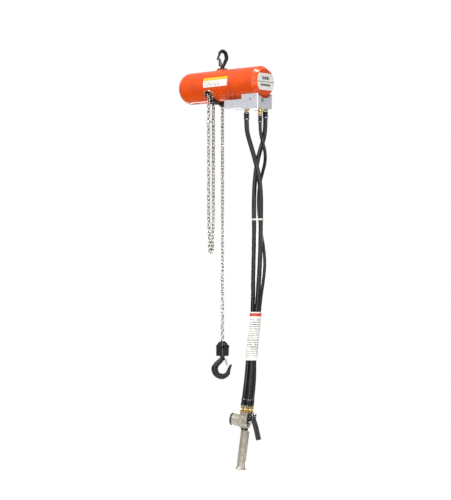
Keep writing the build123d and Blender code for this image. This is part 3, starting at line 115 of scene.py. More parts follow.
@dataclass(frozen=True)
class Finish:
    """One real surface: two tones in soft patches, roughness that varies with them, and fine relief."""

    name: str
    tone: str
    second_tone: str
    patch: float
    smooth: float
    dull: float
    grain: float
    depth: float
    metallic: float = 0.0
    run: Grain = Grain.EVEN
    coat: float = 0.0
    coat_roughness: float = 0.06

    def material(self) -> bpy.types.Material:
        """Build the finish once, and hand out the same material afterwards."""
        found = bpy.data.materials.get(self.name)
        return found if found and found.use_nodes and found.get("hoist_finish") else self.make()

    def make(self) -> bpy.types.Material:
        """Build the material's nodes.

        A broad noise blends the two tones and the two roughness values, and a
        fine noise of the grain's real size lifts the surface by its real depth.
        """
        made = bpy.data.materials.new(self.name)
        made["hoist_finish"] = True
        made.use_nodes = True
        tree = made.node_tree
        tree.nodes.clear()
        place = add_node(tree, "TexCoord").outputs["Object"]
        stretched = add_node(tree, "Mapping", vector=place, scale=self.run.value).outputs["Vector"]
        broad = add_node(tree, "TexNoise", vector=place, scale=1 / (self.patch * MM), detail=4.0, roughness=0.55)
        fine = add_node(tree, "TexNoise", vector=stretched, scale=1 / (self.grain * MM), detail=3.0, roughness=0.6)
        share = add_node(tree, "MapRange", value=broad.outputs["Fac"], from_min=0.36, from_max=0.66)
        tone = add_node(
            tree,
            "Mix",
            {"data_type": "RGBA"},
            n0=share.outputs["Result"],
            n6=linear(self.tone),
            n7=linear(self.second_tone),
        ).outputs[2]
        mixing = {"operation": "MULTIPLY_ADD"}
        gloss_mix = add_node(tree, "Math", mixing, n0=fine.outputs["Fac"], n1=0.35, n2=share.outputs["Result"])
        gloss = add_node(
            tree,
            "MapRange",
            value=gloss_mix.outputs["Value"],
            from_max=1.35,
            to_min=self.smooth,
            to_max=self.dull,
        )
        relief = add_node(tree, "Bump", strength=1.0, distance=self.depth * MM, height=fine.outputs["Fac"])
        shader = add_node(
            tree,
            "BsdfPrincipled",
            base_color=tone,
            metallic=self.metallic,
            roughness=gloss.outputs["Result"],
            normal=relief.outputs["Normal"],
            coat_weight=self.coat,
            coat_roughness=self.coat_roughness,
        )
        add_node(tree, "OutputMaterial", surface=shader.outputs["BSDF"])
        return made


# Sprayed gloss enamel over a cast shell: a clear orange with slight orange peel and a glassy top.
ENAMEL = Finish("orange_gloss_enamel", "#E24E02", "#CD4100", 70, 0.20, 0.32, 3.2, 0.035, coat=0.35)
# Semi-gloss black enamel: near black with soft patches, fine peel.
BLACK_ENAMEL = Finish("black_semi_gloss_enamel", "#141416", "#1D1C1C", 22, 0.26, 0.42, 1.6, 0.03, coat=0.2)
# Drop-forged steel, quenched black: blue-black scale with browner patches and shallow pits.
FORGED = Finish("black_forged_scale", "#121316", "#26211D", 9, 0.30, 0.52, 1.3, 0.09, metallic=0.35)
# Electroplated zinc on the load chain: bright, slightly warm, duller where links rub.
ZINC = Finish("zinc_plated_steel", "#D8D6CF", "#A59F92", 7, 0.17, 0.36, 0.8, 0.012, metallic=1.0)
# Ground and pressed steel parts: neutral grey, fairly bright.
STEEL = Finish("ground_steel", "#C4C5C6", "#A0A2A4", 12, 0.20, 0.38, 0.5, 0.008, metallic=1.0, run=Grain.ALONG_Z)
# Pressed latches, zinc dipped and dulled: a mid grey that stands out against both black and white.
PRESSED = Finish("dull_zinc_pressing", "#9A9C9E", "#77797B", 6, 0.30, 0.48, 0.7, 0.012, metallic=0.75)
# Black-oxide screws: dark satin steel.
BLACK_OXIDE = Finish("black_oxide_steel", "#2A2A2C", "#191A1C", 5, 0.28, 0.45, 0.6, 0.01, metallic=0.8)
# Milled aluminium of the valve block: pale, with long cutter marks. Drawn coarse, 0.9 mm, so that they show.
MILLED = Finish("milled_aluminium", "#F1F2F4", "#DCDFE3", 30, 0.26, 0.44, 0.9, 0.015, metallic=0.6, run=Grain.ALONG_X)
# Die-cast zinc alloy handle, tumbled and left bare: warm grey, matt, with a fine cast skin.
DIE_CAST = Finish("die_cast_zinc_alloy", "#A5A093", "#858071", 16, 0.36, 0.56, 1.1, 0.05, metallic=0.4)
# Grey cast iron inside the motor: dark, rough skin.
CAST_IRON = Finish("grey_cast_iron", "#4A4A49", "#383837", 10, 0.5, 0.7, 0.9, 0.06, metallic=0.6)
# Turned brass fittings: yellow metal with slightly tarnished patches.
BRASS = Finish("turned_brass", "#EED28A", "#C9A355", 5, 0.16, 0.32, 0.4, 0.008, metallic=1.0)
# Extruded synthetic rubber cover: black, satin, with faint lines along the hose and dust.
RUBBER = Finish("extruded_rubber_cover", "#0D0D0E", "#1C1B1A", 26, 0.30, 0.48, 1.4, 0.06, run=Grain.ALONG_Z)
# Crimped and blackened steel shell.
CRIMP = Finish("blackened_crimp_shell", "#18181A", "#242427", 6, 0.24, 0.40, 0.7, 0.02, metallic=0.55)
# Printed plate stock: glossy off-white film on metal.
PLATE_WHITE = Finish("white_plate_film", "#F3F2EC", "#E4E1D6", 18, 0.22, 0.34, 1.5, 0.006, coat=0.3)
# Yellow printed band of the same film.
PLATE_YELLOW = Finish("yellow_plate_film", "#F0C433", "#E2B226", 14, 0.24, 0.36, 1.5, 0.006, coat=0.3)
# Dark print on the film.
PLATE_INK = Finish("dark_plate_ink", "#1B1B1F", "#2B2A2C", 5, 0.35, 0.5, 0.8, 0.004)
# Welded vinyl sheet of the warning sleeve: white, soft gloss, slightly grubby.
VINYL = Finish("white_vinyl_sheet", "#ECEAE4", "#D3CFC5", 24, 0.32, 0.50, 5.0, 0.12, coat=0.15)
# Red print on the vinyl.
VINYL_RED = Finish("red_vinyl_print", "#C5251C", "#A91C16", 14, 0.34, 0.48, 5.0, 0.10, coat=0.15)
# Grey print on the vinyl.
VINYL_GREY = Finish("grey_vinyl_print", "#77767A", "#636268", 8, 0.38, 0.52, 5.0, 0.10)
# Moulded nylon tie and the motor's vanes: milky and waxy.
NYLON = Finish("moulded_nylon", "#E6E3D8", "#D2CDBE", 8, 0.34, 0.46, 0.9, 0.01)

SLOT_FINISHES = {
    "orange_enamel": ENAMEL,
    "black_enamel": BLACK_ENAMEL,
    "forged_black": FORGED,
    "zinc_chain": ZINC,
    "steel": STEEL,
    "cast_aluminium": MILLED,
    "grey_casting": DIE_CAST,
    "brass": BRASS,
    "hose_rubber": RUBBER,
    "black_crimp": CRIMP,
    "plate_white": PLATE_WHITE,
    "sleeve_vinyl": VINYL,
    "nylon": NYLON,
    "cast_iron": CAST_IRON,
}


# ---------------------------------------------------------------- mesh kit
class Shell:
    """Grids of points gathered into one mesh whose faces look outwards."""

    def __init__(self) -> None:
        """Start with nothing in it."""
        self.points: list[Array] = []
        self.faces: list[list[int]] = []
        self.slots: list[Array] = []
        self.count = 0

    def grid(
        self, points: Array, ring: bool = True, loop: bool = False, caps: bool = True, slot: int | Array = 0
    ) -> "Shell":
        """Add one surface: rows run along it, columns run round it.

        Each point joins its neighbours in the next row and the next column. A
        ring closes the columns, a loop closes the rows, and caps fan the first
        and last rows to their middle point. The sum of the volumes between the
        faces and the origin tells which way they look, and turns them outwards.

        Args:
            points: rows by columns by three, in millimetres.
            ring: whether the last column joins the first.
            loop: whether the last row joins the first.
            caps: whether the ends are closed, where the rows don't loop.
            slot: material number, for all faces or for each one by row and column.

        Returns:
            The shell itself, so that calls can follow each other.
        """
        rows, columns = points.shape[:2]
        index = np.arange(rows * columns).reshape(rows, columns)
        index = np.hstack([index, index[:, :1]]) if ring else index
        index = np.vstack([index, index[:1]]) if loop else index
        quads = np.stack([index[:-1, :-1], index[:-1, 1:], index[1:, 1:], index[1:, :-1]], -1)
        slots = np.broadcast_to(np.asarray(slot), quads.shape[:2]).ravel()
        quads = quads.reshape(-1, 4)
        flat = points.reshape(-1, 3)
        fans = np.empty((0, 3), int)
        if caps and not loop:
            middles = np.array([points[0].mean(0), points[-1].mean(0)])
            first, last = index[0], index[-1]
            start = np.full(len(first) - 1, len(flat))
            fans = np.vstack(
                [
                    np.stack([start, first[1:], first[:-1]], -1),
                    np.stack([start + 1, last[:-1], last[1:]], -1),
                ]
            )
            flat = np.vstack([flat, middles])
        corners = np.vstack([quads[:, [0, 1, 2]], quads[:, [0, 2, 3]], fans])
        a, b, c = (flat[corners[:, i]] - flat.mean(0) for i in range(3))
        if np.einsum("ij,ij->i", a, np.cross(b, c)).sum() < 0:
            quads, fans = quads[:, ::-1], fans[:, ::-1]
        self.points.append(flat)
        self.faces += (quads + self.count).tolist() + (fans + self.count).tolist()
        self.slots.append(np.concatenate([slots, np.full(len(fans), slots[0])]))
        self.count += len(flat)
        return self

    def build(self, name: str, *finishes: Finish, sharp: float = 38.0) -> bpy.types.Object:
        """Turn the grids into an object at the origin.

        Args:
            name: the piece's name.
            finishes: its materials, in the order of the slot numbers.
            sharp: edges that turn by more than this many degrees stay crisp.

        Returns:
            The object, linked to the scene.
        """
        mesh = bpy.data.meshes.new(name)
        mesh.from_pydata((np.vstack(self.points) * MM).tolist(), [], self.faces)
        for finish in finishes:
            mesh.materials.append(finish.material())
        mesh.polygons.foreach_set("material_index", np.concatenate(self.slots).astype(np.int32))
        mesh.polygons.foreach_set("use_smooth", np.ones(len(mesh.polygons), bool))
        mesh.set_sharp_from_angle(angle=radians(sharp))
        mesh.update()
        piece = bpy.data.objects.new(name, mesh)
        bpy.context.scene.collection.objects.link(piece)
        return piece


@dataclass(frozen=True)
class Place:
    """An own set of axes: a point of the piece is origin plus x, y and z times its three numbers."""

    origin: Point
    x: Point = (1.0, 0.0, 0.0)
    y: Point = (0.0, 1.0, 0.0)
    z: Point = (0.0, 0.0, 1.0)

    def put(self, points: Array) -> Array:
        """Move points from the piece's axes into the hoist's."""
        return np.asarray(self.origin) + np.asarray(points, float) @ np.array([self.x, self.y, self.z])


def through(stations: list, count: int) -> Array:
    """Follow a smooth line through a few stations.

    Each span is the cubic whose slope at a station is half the step between
    the station's two neighbours. Any number of columns, such as a thickness,
    is carried along with the place.

    Args:
        stations: rows of numbers to pass through.
        count: how many rows to give back.

    Returns:
        The rows, evenly spread over the spans.
    """
    knots = np.asarray(stations, float)
    padded = np.vstack([2 * knots[0] - knots[1], knots, 2 * knots[-1] - knots[-2]])
    share = np.linspace(0, len(knots) - 1, count)
    span = np.minimum(share.astype(int), len(knots) - 2)
    u = (share - span)[:, None]
    p0, p1, p2, p3 = (padded[span + i] for i in range(4))
    square, cube = 2 * p0 - 5 * p1 + 4 * p2 - p3, 3 * p1 - p0 - 3 * p2 + p3
    return 0.5 * (2 * p1 + (p2 - p0) * u + square * u**2 + cube * u**3)


def unit(vectors: Array) -> Array:
    """Scale each vector to a length of one."""
    return vectors / np.linalg.norm(vectors, axis=-1, keepdims=True)


def outline(around: int, power: float) -> tuple[Array, Array]:
    """Give a closed outline of unit half sizes.

    Its two numbers are cosine and sine, each raised to the power with its sign
    kept: one is a circle, and a third is a rectangle with round corners.
    """
    turn = (np.arange(around) + 0.5) * 2 * pi / around
    c, s = np.cos(turn), np.sin(turn)
    return np.sign(c) * np.abs(c) ** power, np.sign(s) * np.abs(s) ** power


def bar(
    path: Array,
    depth_axis: Point,
    width: Array | float,
    depth: Array | float,
    around: int = 24,
    power: float = 1.0,
    loop: bool = False,
) -> Array:
    """Carry an outline along a path.

    At each station the outline's first number runs across the path, square to
    depth_axis, times half the width, and its second along depth_axis times
    half the depth.

    Args:
        path: stations, in millimetres.
        depth_axis: the direction of the bar's depth.
        width: full width at each station.
        depth: full depth at each station.
        around: columns of the outline.
        power: the outline's squareness, as in outline.
        loop: whether the path closes on itself.

    Returns:
        The grid of points.
    """
    path = np.asarray(path, float)
    if loop:
        ahead = np.roll(path, -1, 0) - np.roll(path, 1, 0)
    else:
        ahead = np.gradient(path, axis=0)
    up = np.broadcast_to(np.asarray(depth_axis, float), path.shape)
    side = unit(np.cross(up, unit(ahead)))
    across, along = outline(around, power)
    half_width = np.broadcast_to(np.asarray(width, float) / 2, len(path))[:, None, None]
    half_depth = np.broadcast_to(np.asarray(depth, float) / 2, len(path))[:, None, None]
    sideways = side[:, None] * across[None, :, None] * half_width
    return path[:, None] + sideways + up[:, None] * along[None, :, None] * half_depth


def turned(profile: list[tuple[float, float]], around: int = 48, flats: float = 0.0) -> Array:
    """Turn a profile about the Z axis.

    The radius is the profile's. Where flats is given, it is at most half the
    flats over the cosine of the angle from the nearest flat's middle, which
    cuts a hexagon whose corners the profile's slopes chamfer.

    Args:
        profile: pairs of height and radius.
        around: columns.
        flats: size across the flats of a hexagon, or zero.

    Returns:
        The grid of points.
    """
    height, radius = np.asarray(profile, float).T
    turn = (np.arange(around) + 0.5) * 2 * pi / around
    reach = np.broadcast_to(radius[:, None], (len(radius), around))
    if flats:
        sixth = pi / 3
        reach = np.minimum(reach, flats / 2 / np.cos((turn + sixth / 2) % sixth - sixth / 2))
    rise = np.broadcast_to(height[:, None], reach.shape)
    return np.stack([reach * np.cos(turn), reach * np.sin(turn), rise], -1)


def middle_of(node: str) -> Array:
    """Give the middle of a CAD node's box, in millimetres."""
    low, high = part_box(node)
    return (np.array(low) + np.array(high)) / 2 / MM


def fit(piece: bpy.types.Object, body: str, slot: str, *nodes: str) -> bpy.types.Object:
    """Ride a piece on its body and let it stand for CAD nodes."""
    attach(piece, body)
    if nodes:
        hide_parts(*nodes)
    LOG.info("%s rides on %s", piece.name, body)
    return piece


# ---------------------------------------------------------------- camera, light and floor
@dataclass
class Studio:
    """Camera at the viewing angle, a pale floor and soft light."""

    azimuth: float = 42.0
    distance: float = 5.0
    aim: Point = (0.0077, 0.0069, -0.662)
    half_view: float = 0.8575
    sensor: float = 36.0
    floor_z: float = -1.56
    floor_half: float = 0.95
    lights: tuple = field(
        default=(
            # name, right, towards the camera, height, width, depth, watts, height aimed at
            ("key_light", -2.0, 2.6, 1.5, 1.1, 0.45, 95.0, -0.35),
            ("fill_light", 2.8, 2.4, 0.2, 0.5, 1.6, 38.0, -0.6),
            ("front_light", -0.4, 3.6, -0.6, 1.2, 1.6, 38.0, -0.8),
            ("top_light", 0.0, 0.5, 2.0, 1.6, 0.5, 42.0, -0.1),
            ("back_light", 1.6, -2.8, 0.8, 0.8, 1.4, 22.0, -0.5),
            ("floor_light", 0.0, -0.9, -0.75, 1.4, 0.6, 30.0, -1.9),
        )
    )

    def axes(self) -> tuple[Array, Array]:
        """Give the directions to the camera's right and towards the camera."""
        turn = radians(self.azimuth)
        return np.array([cos(turn), sin(turn), 0.0]), np.array([sin(turn), -cos(turn), 0.0])

    def camera(self) -> None:
        """Place the camera level with the middle of the hoist."""
        _, near = self.axes()
        data = bpy.data.cameras.new("camera")
        data.sensor_width = self.sensor
        data.lens = self.sensor / 2 * self.distance / self.half_view
        data.clip_end = 60.0
        camera = bpy.data.objects.new("camera", data)
        bpy.context.scene.collection.objects.link(camera)
        camera.location = np.asarray(self.aim) + near * self.distance
        camera.rotation_euler = (pi / 2, 0.0, radians(self.azimuth))
        bpy.context.scene.camera = camera

    def light(self) -> None:
        """Hang the soft boxes, each looking at the body of the hoist."""
        right, near = self.axes()
        for name, across, ahead, up, width, height, watts, aim_z in self.lights:
            target = np.array([0.03, -0.03, aim_z])
            data = bpy.data.lights.new(name, "AREA")
            data.shape, data.size, data.size_y, data.energy = "RECTANGLE", width, height, watts
            lamp = bpy.data.objects.new(name, data)
            bpy.context.scene.collection.objects.link(lamp)
            spot = right * across + near * ahead + np.array([0, 0, up])
            lamp.location = spot
            aim = Vector(tuple(target - spot))
            lamp.rotation_euler = aim.to_track_quat("-Z", "Y").to_euler()

    def surroundings(self) -> None:
        """Make the white room: bright to the eye, softer in reflections, dimmer towards the ground."""
        world = bpy.data.worlds.new("studio_room")
        bpy.context.scene.world = world
        world.use_nodes = True
        tree = world.node_tree
        tree.nodes.clear()
        seen = add_node(tree, "LightPath").outputs["Is Camera Ray"]
        bright = add_node(tree, "Background", color=linear("#FFFFFF"), strength=1.0)
        way = add_node(tree, "TexCoord").outputs["Generated"]
        rise = add_node(tree, "SeparateXYZ", n0=way).outputs["Z"]
        dim = add_node(tree, "MapRange", value=rise, from_min=-0.5, from_max=0.3, to_min=0.12, to_max=0.46)
        soft = add_node(tree, "Background", color=linear("#F2F4F8"), strength=dim.outputs["Result"])
        both = add_node(tree, "MixShader", n0=seen, n1=soft.outputs[0], n2=bright.outputs[0])
        add_node(tree, "OutputWorld", surface=both.outputs[0])
        bpy.context.scene.view_settings.view_transform = "Standard"

    def floor(self) -> None:
        """Lay the floor, a pale plaster with a faint mottle."""
        half = self.floor_half / MM
        side = np.linspace(-half, half, 9)
        across, deep = np.meshgrid(side, side)
        points = np.stack([across, deep, np.full_like(across, self.floor_z / MM)], -1)
        pale = Finish("pale_floor", "#FCFCFC", "#F6F6F6", 600, 0.7, 0.8, 20.0, 0.05)
        floor = Shell().grid(points, ring=False, caps=False).build("floor", pale)

    def build(self) -> None:
        """Set up the whole studio."""
        self.camera()
        self.light()
        self.surroundings()
        self.floor()
        LOG.info("studio is set")


# ---------------------------------------------------------------- hoses
@dataclass
class Pendant:
    """The hanging handle's own axes: x to the levers, y across, z up the grip."""

    head: Point = (61.0, -139.0, -1229.0)
    lean: float = 7.0
    hang_yaw: float = 42.0
    yaw: float = 20.0

    def world(self, point: Point) -> Array:
        """Turn a point of the hoses' hanging frame into the hoist's."""
        along, across, height = point
        turn = radians(self.hang_yaw)
        return np.array([along * cos(turn) - across * sin(turn), along * sin(turn) + across * cos(turn), height])

    def place(self) -> Place:
        """Work out the handle's axes from its lean and its turn."""
        lean, hang, turn = radians(self.lean), radians(self.hang_yaw), radians(self.yaw)
        up = np.array([sin(lean) * cos(hang), sin(lean) * sin(hang), cos(lean)])
        ahead = np.array([cos(turn), sin(turn), 0.0])
        ahead = unit(ahead - up * (up @ ahead))
        return Place(tuple(self.world(self.head)), tuple(ahead), tuple(np.cross(up, ahead)), tuple(up))


PENDANT = Pendant()
HANDLE = PENDANT.place()


@dataclass(frozen=True)
class Hose:
    """One air hose: its route in the hanging frame and where it enters the handle."""

    name: str
    diameter: float
    length: float
    fitting: tuple[float, float]
    route: tuple[Point, ...]
    ferrule: float = 25.0
    mouth: float = 74.0
    run: float = 38.0

    def points(self) -> Array:
        """Give the control points: the route, then straight into the handle's ferrule."""
        across, deep = self.fitting
        tail = HANDLE.put([(across, deep, self.mouth + self.run), (across, deep, self.mouth)])
        return np.vstack([[PENDANT.world(p) for p in self.route], tail])

    def curve(self) -> bpy.types.Object:
        """Draw the hose as a smooth spline with the round section of the hose."""
        points = self.points() * MM
        data = bpy.data.curves.new(self.name + "_line", "CURVE")
        data.dimensions = "3D"
        data.resolution_u = 10
        data.bevel_depth = self.diameter / 2 * MM
        data.bevel_resolution = 6
        data.use_fill_caps = True
        spline = data.splines.new("NURBS")
        spline.points.add(len(points) - 1)
        spline.points.foreach_set("co", np.hstack([points, np.ones((len(points), 1))]).ravel())
        spline.order_u = 3
        spline.use_endpoint_u = True
        data.materials.append(RUBBER.material())
        piece = bpy.data.objects.new(self.name + "_cover", data)
        bpy.context.scene.collection.objects.link(piece)
        return fit(piece, "hoist", "hose_rubber", self.name)

    def at(self, height: float) -> Array:
        """Give the point where the route's runs pass a height."""
        points = self.points()
        return np.array([np.interp(-height, -points[:, 2], points[:, i]) for i in range(3)])


@dataclass
class HoseSet:
    """Three hoses with their fittings, ferrules, tie and warning sleeve."""

    supply: Hose = Hose(
        "supply_hose",
        15.5,
        0.9385,
        (22.0, -8.0),
        (
            (80.6, -133.1, -228), (80.6, -133.1, -262), (92, -138.5, -303), (105, -145.5, -348),
            (116.5, -149.5, -392), (125, -149, -438), (128.5, -145.5, -492), (127.8, -142, -560),
            (127, -143, -635), (124.5, -146, -712), (119.5, -145, -796), (113.5, -143, -880),
            (107, -144, -950), (98.5, -144.5, -1020), (96, -150, -1075),
        ),
    )
    up: Hose = Hose(
        "raise_hose",
        15.0,
        0.9404,
        (5.0, -6.0),
        (
            (143.4, -129.1, -222), (143.4, -129.1, -256), (138, -129, -292), (127, -128.5, -325),
            (117.5, -127.5, -362), (110.5, -129, -408), (106, -133, -462), (105, -137, -530),
            (105.8, -139, -600), (104.2, -137, -680), (102.5, -137.5, -760), (102, -135.5, -825),
            (100, -134, -880), (94.5, -134.5, -950), (86.5, -133.5, -1020), (82.5, -138, -1070),
        ),
    )
    down: Hose = Hose(
        "lower_hose",
        11.0,
        0.9325,
        (27.0, 16.0),
        (
            (125.5, -152, -238), (125.5, -152, -268), (133, -151, -300), (142.5, -146, -334),
            (143, -137, -368), (134.5, -127.5, -402), (124.5, -122, -440), (120, -120.5, -492),
            (122, -121.5, -548), (130, -124, -607), (139.5, -129, -662), (142, -133.5, -715),
            (136, -134, -770), (127.5, -132, -826), (122.8, -131.5, -880), (117, -131.5, -950),
            (107.5, -132, -1020), (108, -134, -1072),
        ),
    )
    block_bottom: float = -192.5
    pad_height: float = 28.0
    fitting_top: float = 49.0
    tie_z: float = -560.0
    tie_width: float = 5.0
    tie_thick: float = 1.4
    tie_slack: float = 1.1
    sleeve_top: Point = (111.2, -139.4, -868.0)
    sleeve_bottom: Point = (95.8, -139.4, -1029.0)
    sleeve_size: tuple[float, float] = (39.2, 30.4)
    sleeve_wall: float = 0.8
    sleeve_length: float = 161.0
    sleeve_girth: float = 118.0
    row_pitch: float = 7.5

    def hoses(self) -> tuple[Hose, Hose, Hose]:
        """List the three hoses."""
        return self.supply, self.up, self.down

    def ends(self) -> list[tuple[Hose, Place, float]]:
        """List each hose end.

        Returns:
            The hose, axes at the fitting's root with z along the hose, and the fitting's length.
        """
        found = []
        for hose in self.hoses():
            x, y, z = PENDANT.world(hose.route[0])
            drop = self.block_bottom - (z + hose.ferrule)
            found.append((hose, Place((x, y, self.block_bottom), (1, 0, 0), (0, -1, 0), (0, 0, -1)), drop))
            root = HANDLE.put([(*hose.fitting, self.pad_height)])[0]
            found.append((hose, Place(tuple(root), HANDLE.x, HANDLE.y, HANDLE.z), self.fitting_top - self.pad_height))
        return found

    def fittings(self) -> bpy.types.Object:
        """Turn the brass: a chamfered hexagon at the root, a threaded waist and a swivel nut."""
        shell = Shell()
        for _, place, reach in self.ends():
            nut = min(0.45 * reach, 9.0)
            body = [(0, 6.6), (0.5, 8.1), (nut - 0.7, 8.1), (nut, 6.8)]
            shell.grid(place.put(turned(body, 72, 14.0)))
            waist = np.linspace(nut - 0.3, reach, 40)
            thread = np.stack([waist, 5.1 + 0.28 * np.cos(2 * pi * waist / 1.0)], -1)
            shell.grid(place.put(turned(thread, 36)))
            if reach > 8:
                low, high = 0.58 * reach, 0.93 * reach
                swivel = [(low, 5.4), (low + 0.4, 6.9), (high - 0.8, 6.9), (high, 5.8)]
                shell.grid(place.put(turned(swivel, 72, 12.4)))
        return fit(shell.build("brass_fittings", BRASS), "hoist", "brass", "hose_fittings")

    def ferrules(self) -> bpy.types.Object:
        """Turn the crimp shells: black, with pressed bands and a bright ring near each end."""
        shell = Shell()
        for hose, place, reach in self.ends():
            radius = hose.diameter / 2 + 1.5
            s = np.linspace(0, hose.ferrule, 101)
            bands = sum(np.exp(-(((s - c) / 1.2) ** 4)) for c in (7.5, 12.5, 17.5))
            ends = np.exp(-((s / 0.5) ** 2)) + np.exp(-(((hose.ferrule - s) / 0.5) ** 2))
            shape = np.stack([reach + s, radius - 0.75 * bands - 0.6 * ends], -1)
            middle = (s[:-1] + s[1:]) / 2
            bright = (np.abs(middle - 2.6) < 1.0) | (np.abs(middle - hose.ferrule + 2.4) < 0.9)
            slots = np.broadcast_to(bright[:, None], (100, 48)).astype(int)
            shell.grid(place.put(turned(list(map(tuple, shape)), 48)), slot=slots)
        return fit(shell.build("crimp_ferrules", CRIMP, STEEL), "hoist", "black_crimp", "hose_ferrules")

    def tie(self) -> bpy.types.Object:
        """Wrap the tie round the three hoses.

        In each direction the band touches the hose that reaches farthest that
        way, so its middle line is that hose's centre plus its radius, slack and
        half the band's thickness in that direction.
        """
        centres = np.array([hose.at(self.tie_z)[:2] for hose in self.hoses()])
        radii = np.array([hose.diameter / 2 + self.tie_slack for hose in self.hoses()])
        steps = 160
        turn = np.arange(steps) * 2 * pi / steps
        way = np.stack([np.cos(turn), np.sin(turn)], -1)
        farthest = (way @ centres.T + radii).argmax(1)
        line = centres[farthest] + way * (radii[farthest] + self.tie_thick / 2)[:, None]
        path = np.column_stack([line, np.full(steps, self.tie_z)])
        band = bar(path, (0, 0, 1), self.tie_thick, self.tie_width, 12, 0.4, loop=True)
        shell = Shell().grid(band, loop=True, caps=False)
        right, near = Studio().axes()
        lead = path[(path @ near).argmax()]
        head = lead + np.outer(np.linspace(-3.2, 3.2, 7), right)
        deep = np.array([3.4, 4.4, 4.6, 4.6, 4.6, 4.4, 3.4])
        high = np.array([5.2, 6.4, 6.8, 6.8, 6.8, 6.4, 5.2])
        shell.grid(bar(head, (0, 0, 1), deep, high, 16, 0.4))
        return fit(shell.build("nylon_tie", NYLON), "hoist", "nylon", "hose_tie")

    def sleeve(self) -> bpy.types.Object:
        """Wrap the warning sleeve: a soft flat-sided tube of sheet with ripples and plain printed rows.

        The section is an outline of the sleeve's half sizes. Its radius ripples
        by a sum of slow waves round and along it, which grows to its ends. The
        rows run down the outside and back up the inside, one wall thickness in.
        """
        rows, around = 150, 132
        s = np.linspace(0, 1, rows)[:, None]
        top, bottom = PENDANT.world(self.sleeve_top), PENDANT.world(self.sleeve_bottom)
        centre = top + s * (bottom - top)
        right, near = Studio().axes()
        across, deep = outline(around, 0.52)
        turn = (np.arange(around) + 0.5) * 2 * pi / around
        wave = 0.35 * np.sin(3 * turn + 9 * s) + 0.25 * np.sin(5 * turn - 14 * s + 1.0)
        wave = wave * (0.5 + 2 * np.abs(s - 0.5)) - 0.45
        half_width, half_depth = self.sleeve_size[0] / 2, self.sleeve_size[1] / 2

        def layer(inset: float) -> Array:
            """Give one face of the sheet, moved in by inset."""
            a = (half_width + wave - inset) * across
            b = (half_depth + wave - inset) * deep
            return centre[:, None] + a[..., None] * right + b[..., None] * near

        outside, inside = layer(0.0), layer(self.sleeve_wall)
        points = np.vstack([outside, inside[::-1]])
        down = np.linspace(0, 1, rows - 1)[:, None] * self.sleeve_length
        round_to = (np.arange(around) + 0.5) / around * self.sleeve_girth
        row = (down / self.row_pitch).astype(int)
        line = np.abs(down % self.row_pitch - 3.7) < 1.3
        broken = np.sin(round_to * 1.9 + row * 2.3) + np.sin(round_to * 0.73 + row * 1.1) > -0.75
        front = (round_to > 8) & (round_to < 52)
        marks = np.zeros((2 * rows, around), int)
        marks[: rows - 1] = np.where(line & broken & front & (down > 20) & (down < 150), 2, 0)
        marks[: rows - 1] = np.where((down > 4) & (down < 14), 1, marks[: rows - 1])
        shell = Shell().grid(points, loop=True, caps=False, slot=marks)
        sheet = shell.build("warning_sleeve_sheet", VINYL, VINYL_RED, VINYL_GREY)
        return fit(sheet, "hoist", "sleeve_vinyl", "warning_sleeve")

    def build(self) -> None:
        """Build the hoses first, then what sits on them."""
        curves = {hose.name: hose.curve() for hose in self.hoses()}
        tie, sleeve = self.tie(), self.sleeve()
        self.fittings()
        self.ferrules()
        for hose in self.hoses():
            tuple(PENDANT.world(hose.route[0]) * MM)
        LOG.info("hoses are laid")


